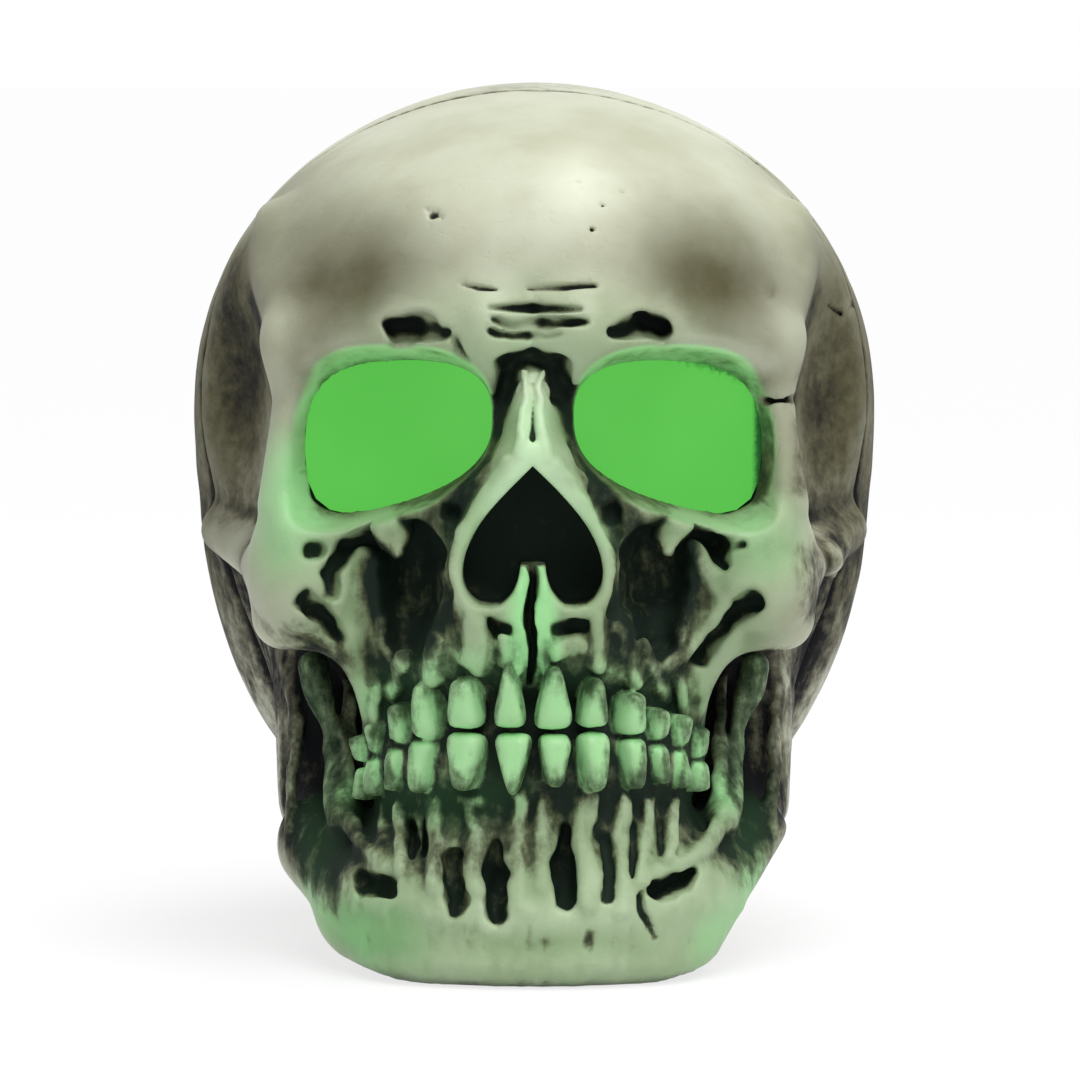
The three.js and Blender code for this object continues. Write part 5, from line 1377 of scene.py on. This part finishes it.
def screw_body(length):
    """Rows of a round-headed screw with its thread, from the head's top."""
    rows = list(SCREW_HEAD)
    height = SCREW_HEAD[-1][1]
    while height < length - SCREW_END:
        rows += [(radius, height + rise) for radius, rise in THREAD_TURN]
        height += THREAD_PITCH
    radius, rise = SCREW_TAPER
    return rows + [(radius, height + rise), (0, length)]


def slotted(work, axis, place):
    """A screw with a straight slot cut across its head, which starts at a place."""
    cutter = bmesh.new()
    bmesh.ops.create_cube(cutter, size=2)
    bmesh.ops.scale(cutter, vec=SLOT_HALVES, verts=cutter.verts)
    move_to(cutter, axis, place)
    meshes = []
    for source in (work, cutter):
        mesh = bpy.data.meshes.new("slotting")
        source.to_mesh(mesh)
        source.free()
        meshes.append(mesh)
    body, tool = (bpy.data.objects.new(mesh.name, mesh) for mesh in meshes)
    for thing in (body, tool):
        bpy.context.scene.collection.objects.link(thing)
    cut = body.modifiers.new("slot", "BOOLEAN")
    cut.object = tool
    cut.operation = "DIFFERENCE"
    cut.solver = "EXACT"
    result = bmesh.new()
    result.from_mesh(body.evaluated_get(bpy.context.evaluated_depsgraph_get()).to_mesh())
    for thing in (body, tool):
        bpy.data.objects.remove(thing)
    for mesh in meshes:
        bpy.data.meshes.remove(mesh)
    return result


def set_screw(node, body, axis, steel):
    """A slotted screw in place of a node, with its head at the node's near end along the axis."""
    low, high = box_mm(node)
    way = np.array(axis)
    length = abs((high - low) @ way)
    place = middle_mm(node) - way * length / 2
    work = slotted(turned(screw_body(length), axis, place), axis, place)
    set_piece(f"{node}_turned", work, node, body, steel)


def finish_nodes(names, material):
    """Gives CAD nodes a material."""
    for name in names:
        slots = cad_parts[name].data.materials
        slots.clear()
        slots.append(material)


# Settings
def number(name, description, default, **options):
    """A number among the settings."""
    return FloatProperty(name=name, description=description, default=default, **options)


def colour_property(name, description, default):
    """A colour among the settings."""
    return FloatVectorProperty(
        name=name, description=description, subtype="COLOR", size=3, min=0, max=1, default=default
    )


class SkullShape(bpy.types.PropertyGroup):
    front_pitch: number("Face grain", "Clay spacing over the face, in mm", 0.5, min=0.3)
    rear_pitch: number("Rear grain", "Clay spacing of the rear half, in mm", 1.0, min=0.5)
    quick_pitch: number("Trial grain", "Clay spacing over the face in a trial, in mm", 0.8, min=0.4)
    most_triangles: IntProperty(name="Triangles", description="Most triangles of a shell", default=190000)


class SkullColours(bpy.types.PropertyGroup):
    bone: colour_property("Bone", "Plain bone", (0.47, 0.49, 0.37))
    bone_warm: colour_property("Warm bone", "Bone where it is warmer", (0.40, 0.41, 0.29))
    # Also the colour of the painted highlight on the forehead
    bone_pale: colour_property("Pale bone", "Bone where its edges are rubbed", (0.82, 0.86, 0.70))
    # Brown of the smudges and of the painted shade
    smudge_and_shade: colour_property("Smudge", "Airbrushed brown", (0.080, 0.073, 0.035))
    # Painted green light on the black wash, the brown and the painted shade
    green_lit_dark: colour_property("Moss", "Dark green where the wash meets the glow", (0.022, 0.085, 0.026))
    # Black of the wash and of the painted shade
    wash_and_shade: colour_property("Wash", "Black wash in the recesses", (0.006, 0.006, 0.008))
    # Painted green light on the cheeks, nose, teeth and eye walls
    glow: colour_property("Glow", "Green on the cheeks, nose and teeth", (0.30, 0.66, 0.28))
    wall: colour_property("Eye wall", "Light on the walls of the eyes", (0.10, 0.40, 0.11))
    lens: colour_property("Lens", "Lit eye", (0.085, 0.48, 0.06))
    # Painted shade on the right lens's top and outer edge
    lens_shade: colour_property("Lens dirt", "Edges of the right lens", (0.006, 0.07, 0.014))
    lens_pale: colour_property("Pale lens", "Lit eye where it is brighter", (0.105, 0.53, 0.075))


class SkullStage(bpy.types.PropertyGroup):
    floor: colour_property("Floor", "Floor", (0.95, 0.95, 0.96))
    floor_white: number("Floor white", "Share of plain white in the floor", 0.75)
    floor_size: number("Floor size", "Half the floor's width", 60.0, unit="LENGTH")
    azimuth: number("Azimuth", "Camera round the skull", math.radians(0.2), subtype="ANGLE")
    elevation: number("Elevation", "Camera above the floor", math.radians(4), subtype="ANGLE")
    distance: number("Distance", "Camera to the skull", 1.26, unit="LENGTH")
    lens: number("Lens", "Focal length in mm", 212.95)
    aim: number("Aim", "Height that the camera looks at", 0.084, unit="LENGTH")
    shift_x: number("Shift across", "Camera's shift across the picture", 0.0055)
    shift_y: number("Shift up", "Camera's shift up the picture", -0.0212)
    sun: number("Sun", "Strength of the sun", 2.6)
    sun_angle: number("Sun's breadth", "Angle that the sun fills", math.radians(50), subtype="ANGLE")
    box: number("Soft box", "Power of the soft box overhead", 3.0)
    box_size: number("Soft box size", "Width of the soft box", 0.35, unit="LENGTH")
    world: number("World", "Strength of the light from all round", 0.28)


class PieceOperator(bpy.types.Operator):
    """What the operators share"""

    bl_options = {"REGISTER", "UNDO"}


class SKULL_OT_shells(PieceOperator):
    """Sculpts and paints the moulded front and rear of the skull"""

    bl_idname = "skull.shells"
    bl_label = "Moulded shells"

    def execute(self, context):
        shape, colours = context.scene.skull_shape, context.scene.skull_colours
        finish = bone_finish(colours)
        front_pitch = shape.front_pitch
        halves = [
            ("skull_front", "front_shell", sculpt_front, -UNCUT, PARTING_FRONT, front_pitch),
            ("skull_rear", "rear_shell", sculpt_rear, PARTING_REAR, UNCUT, shape.rear_pitch),
        ]
        for name, node, sculpt, near, far, pitch in halves:
            low = (-BLOCK_HALF_WIDTH, max(near - PARTING_MARGIN, BLOCK_FRONT), BLOCK_BOTTOM)
            high = (BLOCK_HALF_WIDTH, min(far + PARTING_MARGIN, BLOCK_BACK), BLOCK_TOP)
            clay, core = sculpt(low, high, pitch)
            shell = hollow_shell(clay, core, near, far)
            piece = clay_mesh(name, shell, shape.most_triangles)
            paint_points(piece, clay)
            piece.data.materials.append(finish)
            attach(piece, "skull")
            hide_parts(node)
        return {"FINISHED"}


class SKULL_OT_lamps(PieceOperator):
    """Finishes the eye lenses, the lamps and their board"""

    bl_idname = "skull.lamps"
    bl_label = "Lenses and lamps"

    def execute(self, context):
        lit = lens_finish(context.scene.skull_colours)
        finish_nodes(["eye_lens_left", "eye_lens_right"], lit)
        dome = [
            (LED_RADIUS * math.cos(angle), LED_SHOULDER + LED_RADIUS * math.sin(angle))
            for angle in np.linspace(0, math.pi / 2, LED_DOME_ROWS)
        ]
        lamp = [*LED_FLANGE, *dome[:-1], (0, LED_SHOULDER + LED_RADIUS)]
        for node in ("led_left", "led_right"):
            foot = middle_mm(node)
            foot[1] = box_mm(node)[1][1]
            set_piece(f"{node}_lamp", turned(lamp, (0, -1, 0), foot), node, "skull", lit)
        board = plain_finish("laminate_board", *BOARD_BROWNS, scale=700, roughness=0.55, bump=0.2)
        set_piece("board", eased("lamp_board", 0.15), "lamp_board", "skull", board)
        low, high = box_mm("resistor")
        length, radius = high[0] - low[0], (high[2] - low[2]) / 2
        bands = [
            (low[0] + share * length, low[0] + (share + RING_WIDTH) * length, colour)
            for share, colour in RINGS
        ]
        lacquer = banded_finish("resistor_lacquer", LACQUER, bands, "X", roughness=0.35)
        half = [(share * radius, part * length) for share, part in RESISTOR_HALF]
        rows = half + [(r, length - h) for r, h in reversed(half)]
        foot = middle_mm("resistor")
        foot[0] = low[0]
        set_piece("banded_resistor", turned(rows, (1, 0, 0), foot), "resistor", "skull", lacquer)
        return {"FINISHED"}


class SKULL_OT_base(PieceOperator):
    """Finishes the base plate, its door, the switch and every screw"""

    bl_idname = "skull.base"
    bl_label = "Base, door and screws"

    def execute(self, context):
        black = plain_finish("black_moulding", *BLACKS, scale=1500, roughness=0.5, bump=0.5)
        mouldings = [
            ("base", "base_plate", "skull", 0.25), ("door", "battery_door", "door", 0.25),
            ("switch_case", "switch_body", "skull", 0.2), ("switch_knob", "switch_slider", "slider", 0.2),
        ]
        for name, node, body, width in mouldings:
            set_piece(name, eased(node, width), node, body, black)
        steel = plain_finish("plated_steel", *STEELS, scale=900, roughness=0.35, bump=0.15, Metallic=1.0)
        for i in (1, 2, 3, 4):
            set_screw(f"base_screw_{i}", "skull", (0, 0, 1), steel)
        for i in (1, 2):
            set_screw(f"lamp_board_screw_{i}", "skull", (0, -1, 0), steel)
        set_screw("battery_door_screw", "door_screw", (0, 0, 1), steel)
        contacts = ["contact_positive", "contact_bridge_front", "contact_bridge_rear", "contact_negative"]
        finish_nodes(contacts, steel)
        return {"FINISHED"}


class SKULL_OT_cells(PieceOperator):
    """Finishes the cells and the leads"""

    bl_idname = "skull.cells"
    bl_label = "Cells and leads"

    def execute(self, context):
        for i, facing in ((1, -1), (2, 1), (3, -1)):
            node = f"battery_cell_{i}"
            low, high = box_mm(node)
            caps = [
                (low[1] - BAND_SPILL, low[1] + CAP_BAND, CELL_CAP),
                (high[1] - CAP_BAND, high[1] + BAND_SPILL, CELL_CAP),
            ]
            jacket = banded_finish(f"cell_jacket_{i}", CELL_JACKET, caps, "Y", roughness=0.3)
            radius, length = (high[2] - low[2]) / 2, high[1] - low[1]
            can = length - NUB_HEIGHT
            edge = [(radius - inset, height) for inset, height in CELL_EDGE]
            rows = [(0, 0), *edge, *((r, can - h) for r, h in reversed(edge))]
            rows += [(NUB_RADIUS, can), (NUB_RADIUS, length - NUB_EASE)]
            rows += [(NUB_RADIUS - NUB_EASE, length), (0, length)]
            foot = middle_mm(node)
            foot[1] = low[1] if facing > 0 else high[1]
            work = turned(rows, (0, facing, 0), foot)
            set_piece(f"cell_{i}", work, node, "skull", jacket)
        for node, name, colour in WIRES:
            sleeve = plain_finish(name, colour, dimmed(colour, 0.7), scale=800, roughness=0.4, bump=0.1)
            finish_nodes([node], sleeve)
        return {"FINISHED"}


# Places of the lights, and where they point
SUN_PLACE = (0.3, -0.8, 1.5)
BOX_PLACE = (0.12, 0.05, 0.95)
LIGHT_TARGET = (0, 0, 0.09)


class SKULL_OT_stage(PieceOperator):
    """Sets the floor, the lights and the camera"""

    bl_idname = "skull.stage"
    bl_label = "Stage"

    def execute(self, context):
        stage = context.scene.skull_stage
        self.floor(context, stage)
        self.lights(context, stage)
        self.camera(context, stage)
        context.scene.view_settings.view_transform = "Standard"
        return {"FINISHED"}

    def floor(self, context, stage):
        """A broad pale floor."""
        work = bmesh.new()
        bmesh.ops.create_grid(work, x_segments=8, y_segments=8, size=stage.floor_size)
        mesh = bpy.data.meshes.new("floor")
        work.to_mesh(mesh)
        work.free()
        floor = bpy.data.objects.new("floor", mesh)
        context.scene.collection.objects.link(floor)
        s = Shader("paper_floor", Roughness=0.9, Specular_IOR_Level=0.0)
        s.set(Base_Color=s.mix(s.noise(6, 2), stage.floor, dimmed(stage.floor, 0.99)))
        white = s.node("Emission", {}, {"Color": (1.0, 1.0, 1.0)})
        share = Socket(s, seen_rays(s.tree)) * stage.floor_white
        both = s.node("MixShader", {}, {0: share, 1: Socket(s, s.surface.outputs[0]), 2: white})
        s.tree.links.new(both.link, s.tree.nodes["Material Output"].inputs["Surface"])
        floor.data.materials.append(s.material)

    def lights(self, context, stage):
        """A broad sun from above the front, a soft box overhead and a pale world that is white to look at."""
        sun = bpy.data.lights.new("sun", "SUN")
        sun.energy = stage.sun
        sun.angle = stage.sun_angle
        self.aim(context, "sun", sun, SUN_PLACE)
        box = bpy.data.lights.new("overhead", "AREA")
        box.size = stage.box_size
        box.energy = stage.box
        self.aim(context, "overhead", box, BOX_PLACE)
        world = bpy.data.worlds.new("studio")
        world.use_nodes = True
        nodes, links = world.node_tree.nodes, world.node_tree.links
        strength = nodes.new("ShaderNodeMapRange")
        strength.inputs["To Min"].default_value = stage.world
        links.new(seen_rays(world.node_tree), strength.inputs["Value"])
        links.new(strength.outputs["Result"], nodes["Background"].inputs["Strength"])
        nodes["Background"].inputs["Color"].default_value = (1, 1, 1, 1)
        context.scene.world = world

    def aim(self, context, name, data, place):
        """Adds a lamp at a place, pointed at the skull."""
        lamp = bpy.data.objects.new(name, data)
        lamp.location = place
        lamp.rotation_mode = "QUATERNION"
        lamp.rotation_quaternion = (Vector(LIGHT_TARGET) - Vector(place)).to_track_quat("-Z", "Y")
        context.scene.collection.objects.link(lamp)

    def camera(self, context, stage):
        """A camera that looks at the skull from a turn and a rise."""
        data = bpy.data.cameras.new("camera")
        data.lens = stage.lens
        data.shift_x = stage.shift_x
        data.shift_y = stage.shift_y
        camera = bpy.data.objects.new("camera", data)
        turn, rise = stage.azimuth, stage.elevation
        back = Vector((math.sin(turn) * math.cos(rise), -math.cos(turn) * math.cos(rise), math.sin(rise)))
        camera.location = Vector((0, 0, stage.aim)) + stage.distance * back
        camera.rotation_mode = "QUATERNION"
        camera.rotation_quaternion = (-back).to_track_quat("-Z", "Y")
        context.scene.collection.objects.link(camera)
        context.scene.camera = camera


class SKULL_PT_panel(bpy.types.Panel):
    """Lists the skull's settings and pieces"""

    bl_label = "Light-up skull"
    bl_space_type = "VIEW_3D"
    bl_region_type = "UI"
    bl_category = "Skull"

    def draw(self, context):
        for settings in (context.scene.skull_shape, context.scene.skull_colours, context.scene.skull_stage):
            for name in settings.__annotations__:
                self.layout.prop(settings, name)
        for operator in OPERATORS:
            self.layout.operator(operator.bl_idname)


OPERATORS = (SKULL_OT_shells, SKULL_OT_lamps, SKULL_OT_base, SKULL_OT_cells, SKULL_OT_stage)
SETTINGS = {"skull_shape": SkullShape, "skull_colours": SkullColours, "skull_stage": SkullStage}


def register():
    for group in SETTINGS.values():
        bpy.utils.register_class(group)
    for name, group in SETTINGS.items():
        setattr(bpy.types.Scene, name, PointerProperty(type=group))
    for kind in (*OPERATORS, SKULL_PT_panel):
        bpy.utils.register_class(kind)


def unregister():
    for kind in reversed((*OPERATORS, SKULL_PT_panel)):
        bpy.utils.unregister_class(kind)
    for name, group in SETTINGS.items():
        delattr(bpy.types.Scene, name)
        bpy.utils.unregister_class(group)


def main():
    register()
    bpy.ops.skull.shells()
    bpy.ops.skull.lamps()
    bpy.ops.skull.base()
    bpy.ops.skull.cells()
    bpy.ops.skull.stage()


if __name__ == "__main__":
    main()
